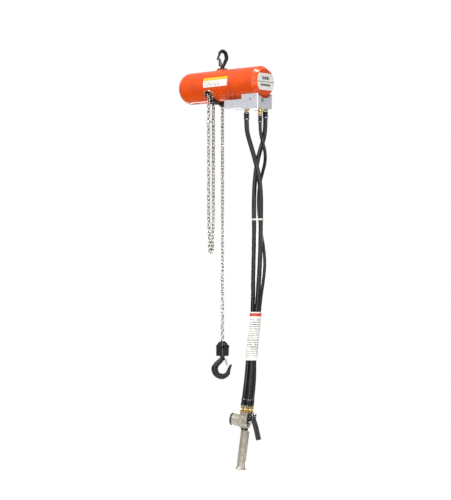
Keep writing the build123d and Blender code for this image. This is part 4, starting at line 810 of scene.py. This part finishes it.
# ---------------------------------------------------------------- chain
@dataclass
class Chain:
    """Round steel load chain, with the strands that the lift motion needs."""

    wire: float = 4.0
    pitch: float = 12.0
    width: float = 13.5
    play: float = 0.1
    pockets: int = 6
    segment: int = 18
    slack_links: int = 36
    tail_links: int = 27
    hidden_wire: float = 3.6
    bight_radius: float = 7.0
    bight_drop: float = 120.0

    def link(self, wire: float) -> Array:
        """Bend one link, long along Z and flat in the YZ plane.

        Its centre line is two straight legs and two half circles. The wire is
        carried along it, and swells by a sixth at the butt weld on one leg.
        """
        half = (self.width - self.wire) / 2
        leg = self.pitch / 2 + self.wire / 2 + self.play - half
        turn = np.linspace(0, pi, 9)
        bow = np.stack([half * np.cos(turn), leg + half * np.sin(turn)], -1)
        sides = np.linspace(-leg, leg, 6)[1:-1]
        far = np.stack([np.full(4, -half), sides[::-1]], -1)
        near = np.stack([np.full(4, half), sides], -1)
        line = np.vstack([bow, far, -bow, near])
        path = np.column_stack([np.zeros(len(line)), line])
        weld = 1 + 0.16 * np.exp(-((line[:, 1] / 1.4) ** 2)) * (line[:, 0] < -half + 0.1)
        return bar(path, (1, 0, 0), wire * weld, wire * weld, 10, loop=True)

    def string(self, places: list[tuple[float, float, float, bool]], wire: float = 0.0) -> Shell:
        """Set links at places.

        Args:
            places: for each link y, z, its turn about X in degrees and whether it lies flat.
            wire: wire thickness, the chain's own if zero.

        Returns:
            The shell that holds them.
        """
        shell = Shell()
        link = self.link(wire or self.wire)
        for y, z, lean, flat in places:
            c, s = cos(radians(lean)), sin(radians(lean))
            shape = link[..., [1, 0, 2]] * np.array([-1, 1, 1]) if flat else link
            tip = np.array([[1, 0, 0], [0, c, s], [0, -s, c]])
            shell.grid(shape @ tip + np.array([0, y, z]), loop=True, caps=False)
        return shell

    def strand(self, y: float, top: float, first: int, last: int) -> list[tuple[float, float, float, bool]]:
        """List links first to last of a hanging strand, counted down from top, odd ones flat."""
        return [(y, top - self.pitch * k, 0.0, k % 2 == 1) for k in range(first, last + 1)]

    def bight(self, start: Array, end: Array) -> list[tuple[float, float, float, bool]]:
        """Lay links along the slack loop's bottom.

        Two lines draw the strands together, each the cubic that starts and ends
        upright, and half a circle joins them. The links are evenly spread.
        """
        centre = (start[0] + end[0]) / 2
        low = min(start[1], end[1]) - self.bight_drop
        u = np.linspace(0, 1, 60)
        ease = 3 * u**2 - 2 * u**3
        near, far = centre + self.bight_radius, centre - self.bight_radius
        down = np.stack([start[0] + (near - start[0]) * ease, start[1] + (low - start[1]) * u], -1)
        back = np.stack([far + (end[0] - far) * ease, low + (end[1] - low) * u], -1)
        turn = np.linspace(0, -pi, 24)[1:-1]
        arc = np.stack([centre + self.bight_radius * np.cos(turn), low + self.bight_radius * np.sin(turn)], -1)
        line = np.vstack([down, arc, back])
        reach = np.concatenate([[0], np.cumsum(np.linalg.norm(np.diff(line, axis=0), axis=1))])
        count = round(reach[-1] / self.pitch)
        at = (np.arange(count) + 0.5) / count * reach[-1]
        y, z = np.interp(at, reach, line[:, 0]), np.interp(at, reach, line[:, 1])
        ahead_y = np.interp(at + 1, reach, line[:, 0]) - np.interp(at - 1, reach, line[:, 0])
        ahead_z = np.interp(at + 1, reach, line[:, 1]) - np.interp(at - 1, reach, line[:, 1])
        lean = np.degrees(np.arctan2(ahead_z, ahead_y)) + 90
        return [(y[k], z[k], lean[k], (self.slack_links + 1 + k) % 2 == 1) for k in range(count)]

    def build(self) -> None:
        """Build every strand and let it ride on its body."""
        half_pocket = radians(90 / self.pockets)
        pitch_r = 0.5 * sqrt((self.pitch / sin(half_pocket)) ** 2 + (self.wire / cos(half_pocket)) ** 2)
        axis_z = middle_of("lift_wheel")[2]
        pin = middle_of("chain_anchor")
        top = pin[2] + 2.0 - self.pitch / 2 - self.play
        standing = self.slack_links - round((axis_z - top) / self.pitch) + 1
        step = 180 / self.pockets
        over = [
            (
                pitch_r * (cos(radians(step * k)) - 1),
                axis_z + pitch_r * sin(radians(step * k)),
                step * k,
                k % 2 == 1,
            )
            for k in range(self.pockets + 1)
        ]
        upper = self.strand(0.0, axis_z, 1, self.segment) + over
        upper += self.strand(-2 * pitch_r, axis_z, 1, self.slack_links)
        upper += self.strand(pin[1], top, 0, standing - 1)
        fit(self.string(upper).build("upper_chain_links", ZINC), "hoist", "zinc_chain", "upper_chain")
        bodies = {2: "chain_two", 3: "chain_three", 4: "hook_block"}
        for number, body in bodies.items():
            last = self.segment * number + (2 if number == 4 else 0)
            places = self.strand(0.0, axis_z, self.segment * (number - 1) + 1, last)
            links = self.string(places).build(f"load_chain_links_{number}", ZINC)
            fit(links, body, "zinc_chain", f"load_chain_{number}")
        start = np.array([-2 * pitch_r, axis_z - self.pitch * (self.slack_links + 0.5)])
        end = np.array([pin[1], top - self.pitch * (standing - 0.5)])
        loop = self.string(self.bight(start, end))
        fit(loop.build("slack_loop_links", ZINC), "slack_bight", "zinc_chain", "slack_loop")
        tails = self.strand(-2 * pitch_r, axis_z, self.slack_links - self.tail_links + 1, self.slack_links)
        tails += self.strand(pin[1], top, standing - self.tail_links, standing - 1)
        fit(self.string(tails, self.hidden_wire).build("slack_tail_links", ZINC), "slack_bight", "zinc_chain")


# ---------------------------------------------------------------- hooks
@dataclass
class Hook:
    """A forged hook with its pressed safety latch."""

    name: str
    node: str
    latch_node: str
    body: str
    latch_body: str
    place: Place
    bowl: float
    back: float
    shank: float
    shank_top: float
    stem: float = 6.0
    lug: float = 7.0

    def stations(self) -> list[tuple[float, float, float]]:
        """List across, up and thickness down the hook's middle line, bowl centred on zero."""
        r, d = self.bowl, self.back
        rows = [(0.0, 2.80 * r, self.shank), (0.0, 2.50 * r, self.shank * 1.08), (-0.50 * r, 1.86 * r, 0.84 * d)]
        for angle, share in ((145, 0.90), (180, 1.0), (225, 0.97), (270, 0.90), (315, 0.72), (347, 0.54)):
            reach = r + share * d / 2
            rows.append((reach * cos(radians(angle)), reach * sin(radians(angle)), share * d))
        rows += [(1.66 * r, 0.42 * r, 0.43 * d), (1.90 * r, 0.86 * r, 0.30 * d)]
        return rows

    def forging(self) -> bpy.types.Object:
        """Forge the hook.

        Its section is a slightly squared oval, nine tenths as deep as wide. The
        tip rounds off over its last stations, and the lug for the latch grows
        out of the throat.
        """
        line = through(self.stations(), 120)
        t = np.linspace(0, 1, 9)[1:]
        ahead = line[-1, :2] - line[-2, :2]
        tip = line[-1, :2] + np.outer(t * line[-1, 2] * 0.45, unit(ahead))
        nose = np.column_stack([tip, line[-1, 2] * np.sqrt(np.clip(1 - t**2, 0.002, 1))])
        line = np.vstack([line, nose])
        path = np.column_stack([line[:, :2], np.zeros(len(line))])
        thick = line[:, 2]
        shell = Shell().grid(self.place.put(bar(path, (0, 0, 1), thick, 0.94 * thick, 36, 0.86)))
        top = 2.80 * self.bowl
        spin = Place((0, 0, 0), (1, 0, 0), (0, 0, -1), (0, 1, 0))
        stem = [(top - 1.5, self.shank / 2 - 0.2), (top, self.shank / 2 - 0.4)]
        stem += [(top + 1.2, self.stem), (self.shank_top, self.stem)]
        shell.grid(self.place.put(spin.put(turned(stem, 36))))
        p, q = self.hinge()
        web = np.linspace(-1.0, p + 2.6, 12)
        high = 7.4 - 2.4 * np.linspace(0, 1, 12) ** 4
        web_path = np.stack([web, np.full(12, q + 0.2), np.zeros(12)], -1)
        shell.grid(self.place.put(bar(web_path, (0, 0, 1), high, self.lug, 20, 0.5)))
        return fit(shell.build(self.name, FORGED), self.body, "forged_black", self.node)

    def hinge(self) -> tuple[float, float]:
        """Give the latch's hinge centre."""
        return 0.76 * self.bowl, 2.14 * self.bowl

    def latch(self) -> bpy.types.Object:
        """Press the latch: two cheeks with round eyes, and a tongue that narrows to its tip in the hook."""
        p, q = self.hinge()
        end = np.array([0.96 * self.bowl, 0.36 * self.bowl])
        start = np.array([p, q])
        ahead = unit(end - start)
        length = float(np.linalg.norm(end - start))
        side = np.array([-ahead[1], ahead[0]])
        own = Place((p, q, 0.0), (*ahead, 0.0), (*side, 0.0), (0, 0, 1))
        cheek = self.lug / 2 + 0.3 + 0.65
        shell = Shell()
        s = np.linspace(4.2, length - 0.4, 24)
        tongue = np.stack([s, 2.6 - 0.8 * ((s - 4) / length) ** 3, np.zeros(24)], -1)
        broad = 2 * cheek + 1.3 - 2.6 * np.clip((s - 0.45 * length) / (0.55 * length), 0, 1) ** 1.5
        shell.grid(self.place.put(own.put(bar(tongue, (0, 0, 1), 1.2, broad, 24, 0.3))))
        for at in (-cheek, cheek):
            reach = np.linspace(0.0, 0.8 * length, 18)
            high = 7.6 - 4.8 * (reach / (0.8 * length)) ** 1.6
            middle = np.stack([reach, 3.2 - high / 2, np.full(18, at)], -1)
            shell.grid(self.place.put(own.put(bar(middle, (0, 0, 1), high, 1.2, 20, 0.4))))
            eye = turned([(-0.6, 2.8), (-0.35, 3.3), (0.35, 3.3), (0.6, 2.8)], 32) + np.array([0, 0, at])
            shell.grid(self.place.put(own.put(eye)))
        return fit(shell.build(self.name + "_latch", PRESSED), self.latch_body, "steel", self.latch_node)

    def build(self) -> None:
        """Build hook and latch."""
        self.forging()
        self.latch()


def both_hooks() -> tuple[Hook, Hook]:
    """Place the top hook and the load hook from their CAD nodes."""
    turn = radians(42.0)
    bowl = 15.3
    load_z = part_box("hook_block_front")[0][2] / MM - 2.85 * bowl
    top_place = Place((0, 0, 0), (0, -1, 0), (0, 0, -1), (1, 0, 0))
    load_place = Place((0, 0, load_z), (cos(turn), sin(turn), 0), (0, 0, 1), (sin(turn), -cos(turn), 0))
    top_end = -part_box("suspension_hook")[0][2] / MM
    load_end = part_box("load_hook")[1][2] / MM - load_z
    top_names = ("top_hook", "suspension_hook", "suspension_latch", "hanger", "top_latch")
    load_names = ("bottom_hook", "load_hook", "load_latch", "load_hook", "load_latch")
    top = Hook(*top_names, top_place, bowl=14.0, back=13.5, shank=12.6, shank_top=top_end)
    load = Hook(*load_names, load_place, bowl=bowl, back=23.0, shank=14.0, shank_top=load_end)
    return top, load


# ---------------------------------------------------------------- plates
@dataclass
class Plates:
    """The curved nameplate and the flat end plate, both with plain bars for print."""

    length: float = 108.0
    width: float = 32.4
    angle: float = 170.25
    radius: float = 54.0
    thick: float = 0.5
    end_radius: float = 42.1
    end_height: float = 56.0
    step: float = 0.6

    def slab(self, face: Array, back: Array, slot: Array) -> Shell:
        """Close a printed face with the two edges of its back.

        Args:
            face: the outer grid.
            back: the inner grid, of the same size.
            slot: material number of each outer face.

        Returns:
            The closed sheet.
        """
        points = np.concatenate([face, back[:, -1:], back[:, :1]], 1)
        slots = np.zeros((len(face) - 1, points.shape[1]), int)
        slots[:, : face.shape[1] - 1] = slot
        return Shell().grid(points, slot=slots)

    def nameplate(self) -> bpy.types.Object:
        """Roll the nameplate on the housing: yellow band along the upper part, white below, rows of plain bars."""
        axis = middle_of("motor_cover")
        low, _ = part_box("label_plates")
        columns = round(self.width / self.step)
        rows = round(self.length / self.step)
        x = low[0] / MM + np.linspace(0, self.length, rows + 1)[:, None]
        half = np.degrees(np.arcsin(self.width / 2 / (self.radius + self.thick)))
        turn = np.radians(self.angle + np.linspace(-half, half, columns + 1))[None]

        def arc(reach: float) -> Array:
            """Give the rolled grid at one radius."""
            y, z = axis[1] + reach * np.cos(turn), axis[2] + reach * np.sin(turn)
            return np.stack(np.broadcast_arrays(x, y, z), -1)

        along = (np.arange(rows) + 0.5)[:, None] * self.step
        down = (np.arange(columns) + 0.5)[None] * self.step
        band = down < 10.5
        row = (down / 3.6).astype(int)
        broken = np.sin(along * 1.15 + row * 2.1) + np.sin(along * 0.37 + row) > -0.35
        bars = (np.abs(down % 3.6 - 1.8) < 0.75) & broken
        bars &= (along > 6) & (along < self.length - 6) & (down > 2.4) & (down < self.width - 3)
        bars &= ~((along > 74) & ~band)
        slots = np.where(bars, 2, np.where(band, 1, 0))
        shell = self.slab(arc(self.radius + self.thick), arc(self.radius + 0.02), slots)
        plate = shell.build("nameplate", PLATE_WHITE, PLATE_YELLOW, PLATE_INK)
        return fit(plate, "hoist", "plate_white", "label_plates")

    def end_plate(self) -> bpy.types.Object:
        """Cut the round end plate: flat top and bottom, a thin divider, plain blocks above and below it."""
        axis = middle_of("motor_cover")
        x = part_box("label_plates")[1][0] / MM
        rows = round(self.end_height / self.step)
        columns = round(2 * self.end_radius / self.step)
        z = np.linspace(-1, 1, rows + 1)[:, None] * self.end_height / 2
        share = np.linspace(-1, 1, columns + 1)[None]
        chord = np.sqrt(self.end_radius**2 - z**2)

        def disc(at: float) -> Array:
            """Give the cut disc at one place along the body."""
            return np.stack(np.broadcast_arrays(np.float64(at), axis[1] + share * chord, axis[2] + z), -1)

        up = ((z[1:] + z[:-1]) / 2) * np.ones((1, columns))
        mid = (share[:, 1:] + share[:, :-1]) / 2 * ((chord[1:] + chord[:-1]) / 2)
        block = ((mid + 60) % 9.5 < 7.0) & (np.abs(mid) < 18) & (up > 7) & (up < 17)
        small = ((mid + 60) % 7.0 < 5.2) & (np.abs(mid) < 24.5) & (up < -7) & (up > -15)
        divider = np.abs(up) < 0.7
        slots = np.where(block | small | divider, 1, 0)
        shell = self.slab(disc(x), disc(x - 0.55), slots)
        return fit(shell.build("end_plate", PLATE_WHITE, PLATE_INK), "hoist", "plate_white")

    def build(self) -> None:
        """Build both plates."""
        self.nameplate()
        self.end_plate()


# ---------------------------------------------------------------- pendant handle
@dataclass
class Handle:
    """Die-cast pistol-grip valve handle with its cap, bracket and two levers."""

    head_left: float = -28.0
    head_right: float = 30.0
    small_r: float = 21.0
    large_r: float = 24.5
    rib_height: float = 1.3
    rib_pitch: float = 11.0
    grip_x: float = 20.8
    grip_r: float = 14.5
    grip_top: float = -24.0
    foot_z: float = -163.0
    foot_r: float = 20.0
    pivot: tuple[float, float] = (40.0, 20.0)
    splay: float = 23.0
    lever_length: float = 82.0
    lever_wide: float = 15.6
    lever_thick: float = 5.4
    lane: float = 11.5

    def head(self) -> Array:
        """Turn the head along its own X.

        The radius widens from the cap to the lever side with rounded rims. On
        the wide half two families of slanting ribs cross, and each rib lifts
        the surface by a bell curve of the distance from its middle.
        """
        x = np.linspace(self.head_left, self.head_right, 150)
        share = np.clip((x - self.head_left) / (self.head_right - 14 - self.head_left), 0, 1)
        radius = self.small_r + (self.large_r - self.small_r) * share
        edge = 1.6 * (np.exp(-(((x - self.head_left) / 1.1) ** 2)) + np.exp(-(((self.head_right - x) / 1.1) ** 2)))
        turn = (np.arange(168) + 0.5) * 2 * pi / 168
        girth = self.large_r * turn[None]
        lift = np.zeros((150, 168))
        for way in (-1, 1):
            phase = (x[:, None] * 1.25 + way * girth) / self.rib_pitch
            off = np.abs((phase + 0.5) % 1 - 0.5) * self.rib_pitch
            lift = np.maximum(lift, np.exp(-((off / 1.45) ** 4)))
        zone = 1 / (1 + np.exp(-(x - 0.0) * 1.3)) * (1 / (1 + np.exp((x - 26.0) * 1.3)))
        reach = (radius - edge)[:, None] + self.rib_height * lift * zone[:, None]
        return np.stack([np.broadcast_to(x[:, None], reach.shape), reach * np.cos(turn), reach * np.sin(turn)], -1)

    def pad(self) -> Array:
        """Raise the square pad that the hoses screw into, with a rounded top edge."""
        up = np.concatenate([[6.0, 20.0], 28.0 - 1.6 * (1 - np.sin(np.linspace(0, pi / 2, 7)))])
        shrink = np.concatenate([[0, 0], 1.6 * (1 - np.cos(np.linspace(0, pi / 2, 7)))])
        path = np.stack([np.full(len(up), 13.5), np.full(len(up), 4.0), up], -1)
        return bar(path, (0, 1, 0), 33 - 2 * shrink, 38 - 2 * shrink, 48, 0.28)

    def grip(self) -> tuple[Array, Array]:
        """Draw the grip, from a narrowed neck, painted black as the shade under the head, down to the flared foot.

        The section is an oval, a twentieth deeper than wide, with a low
        parting ridge on both sides. The foot swells by a smooth step and ends
        in a thick rim with two shallow bays.
        """
        stations = [
            (self.grip_top + 8, 12.4, -3.6),
            (self.grip_top - 2, 12.4, -3.6),
            (self.grip_top - 6, 12.7, -2.8),
            (self.grip_top - 7.5, 14.3, -0.4),
            (self.grip_top - 12, 14.6, 0.0),
            (-60.0, 14.5, 0.0),
            (-100.0, 14.7, 0.0),
            (-138.0, 14.9, 0.0),
            (-149.0, 15.4, 0.0),
            (-155.0, 17.4, 0.0),
            (-159.0, 19.6, 0.0),
            (-161.6, 20.0, 0.0),
            (self.foot_z, 18.8, 0.0),
        ]
        line = through(stations, 150)
        turn = (np.arange(72) + 0.5) * 2 * pi / 72
        ridge = 0.35 * (np.exp(-(((turn - pi / 2) / 0.05) ** 2)) + np.exp(-(((turn - 3 * pi / 2) / 0.05) ** 2)))
        flare = np.clip((line[:, 1] - 15.2) / 4.8, 0, 1)[:, None]
        reach = line[:, 1:2] + ridge - 1.4 * flare * np.cos(2 * turn) ** 8
        x = self.grip_x + line[:, 2:3] + reach * np.cos(turn) * 0.98
        y = reach * np.sin(turn)
        z = np.broadcast_to(line[:, :1], x.shape)
        # Painted shade: the narrowed neck under the head takes the black enamel slot in place of the head's shadow;
        # the narrowing itself is real shape.
        dark = (line[:-1, 0] < self.grip_top - 0.2) & (line[:-1, 0] > self.grip_top - 6.4)
        return np.stack([x, y, z], -1), np.broadcast_to(dark[:, None], (149, 72)).astype(int)

    def casting(self) -> bpy.types.Object:
        """Cast head, pad and grip, with the grip's small cover screw."""
        shell = Shell().grid(HANDLE.put(self.head()))
        shell.grid(HANDLE.put(self.pad()))
        grip, dark = self.grip()
        # The grip's black enamel band on the neck is painted shade under the head.
        shell.grid(HANDLE.put(grip), slot=dark)
        boss = turned([(0, 4.2), (1.2, 4.0), (1.6, 3.3), (1.6, 2.4), (0.9, 2.2)], 28)
        out = Place((self.grip_x + 3.0, -13.6, -46.0), (1, 0, 0), (0, 0, 1), (0, -1, 0))
        shell.grid(HANDLE.put(out.put(boss)))
        return fit(shell.build("handle_casting", DIE_CAST, BLACK_ENAMEL), "hoist", "grey_casting", "pendant_body")

    def cap(self) -> bpy.types.Object:
        """Turn the black end cap, slightly domed, with a raised rim."""
        rim = self.small_r + 1.38
        profile = [(0, rim - 0.3), (-0.5, rim), (-3.2, rim), (-4.5, rim - 0.9), (-5.0, rim - 2.2)]
        profile += [(-4.6, rim - 3.4), (-4.4, 9.0), (-4.9, 8.0), (-5.0, 3.0)]
        spin = Place((self.head_left, 0, 0), (0, 1, 0), (0, 0, 1), (1, 0, 0))
        shell = Shell().grid(HANDLE.put(spin.put(turned(profile, 72))))
        return fit(shell.build("handle_end_cap", BLACK_ENAMEL), "hoist", "black_enamel", "pendant_cap")

    def lever(self, name: str, side: int) -> bpy.types.Object:
        """Press one lever: a round hub and a long, slightly bowed paddle with a rounded toe.

        Args:
            name: the lever's CAD node and body.
            side: minus one for the front lane, one for the rear.

        Returns:
            The lever.
        """
        lean = radians(self.splay)
        s = np.linspace(0, self.lever_length, 48)
        bow = 1.1 * np.sin(pi * s / self.lever_length) ** 2
        x = self.pivot[0] + s * sin(lean) + bow * cos(lean)
        z = self.pivot[1] - s * cos(lean) + bow * sin(lean)
        path = np.stack([x, np.full(48, side * self.lane), z], -1)
        toe = np.sqrt(np.clip(1 - ((s - self.lever_length + 5) / 7.9).clip(0) ** 2, 0.05, 1))
        wide = self.lever_wide * (0.86 + 0.14 * np.clip(s / 30, 0, 1)) * toe
        thick = self.lever_thick * (0.78 + 0.22 * toe)
        shell = Shell().grid(HANDLE.put(bar(path, (0, 1, 0), thick, wide, 28, 0.42)))
        half = self.lever_wide / 2
        hub = turned([(-half, 4.7), (-half + 0.8, 5.5), (half - 0.8, 5.5), (half, 4.7)], 40)
        spin = Place((self.pivot[0], side * self.lane, self.pivot[1]), (1, 0, 0), (0, 0, -1), (0, 1, 0))
        shell.grid(HANDLE.put(spin.put(hub)))
        return fit(shell.build(name + "_paddle", BLACK_ENAMEL), name, "black_enamel", name)

    def build(self) -> None:
        """Build the handle's pieces."""
        self.casting()
        self.cap()
        self.lever("raise_lever", -1)
        self.lever("lower_lever", 1)


# ---------------------------------------------------------------- carried-over nodes
@dataclass
class Machinery:
    """CAD nodes whose shape is right: they keep their meshes and get real finishes."""

    own: dict = field(
        default_factory=lambda: {
            "housing_screws": BLACK_OXIDE,
            "hook_block_screws": BLACK_OXIDE,
            "seam_ring": ZINC,
            "slack_port_ring": ZINC,
            "suspension_collar": FORGED,
        }
    )

    def dress(self) -> None:
        """Give every node the finish of its slot, or its own one."""
        for name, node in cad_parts.items():
            for holder in node.material_slots:
                slot = holder.material.name.split(".")[0] if holder.material else "steel"
                finish = self.own.get(name) or SLOT_FINISHES.get(slot, STEEL)
                holder.link = "OBJECT"
                holder.material = finish.material()
        LOG.info("%d frame nodes are dressed", len(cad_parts))


def main() -> None:
    """Build the studio and every piece in order."""
    logging.basicConfig(level=logging.INFO, format="%(message)s")
    Studio().build()
    HoseSet().build()
    Machinery().dress()
    Chain().build()
    for hook in both_hooks():
        hook.build()
    Plates().build()
    Handle().build()


if __name__ == "__main__":
    main()
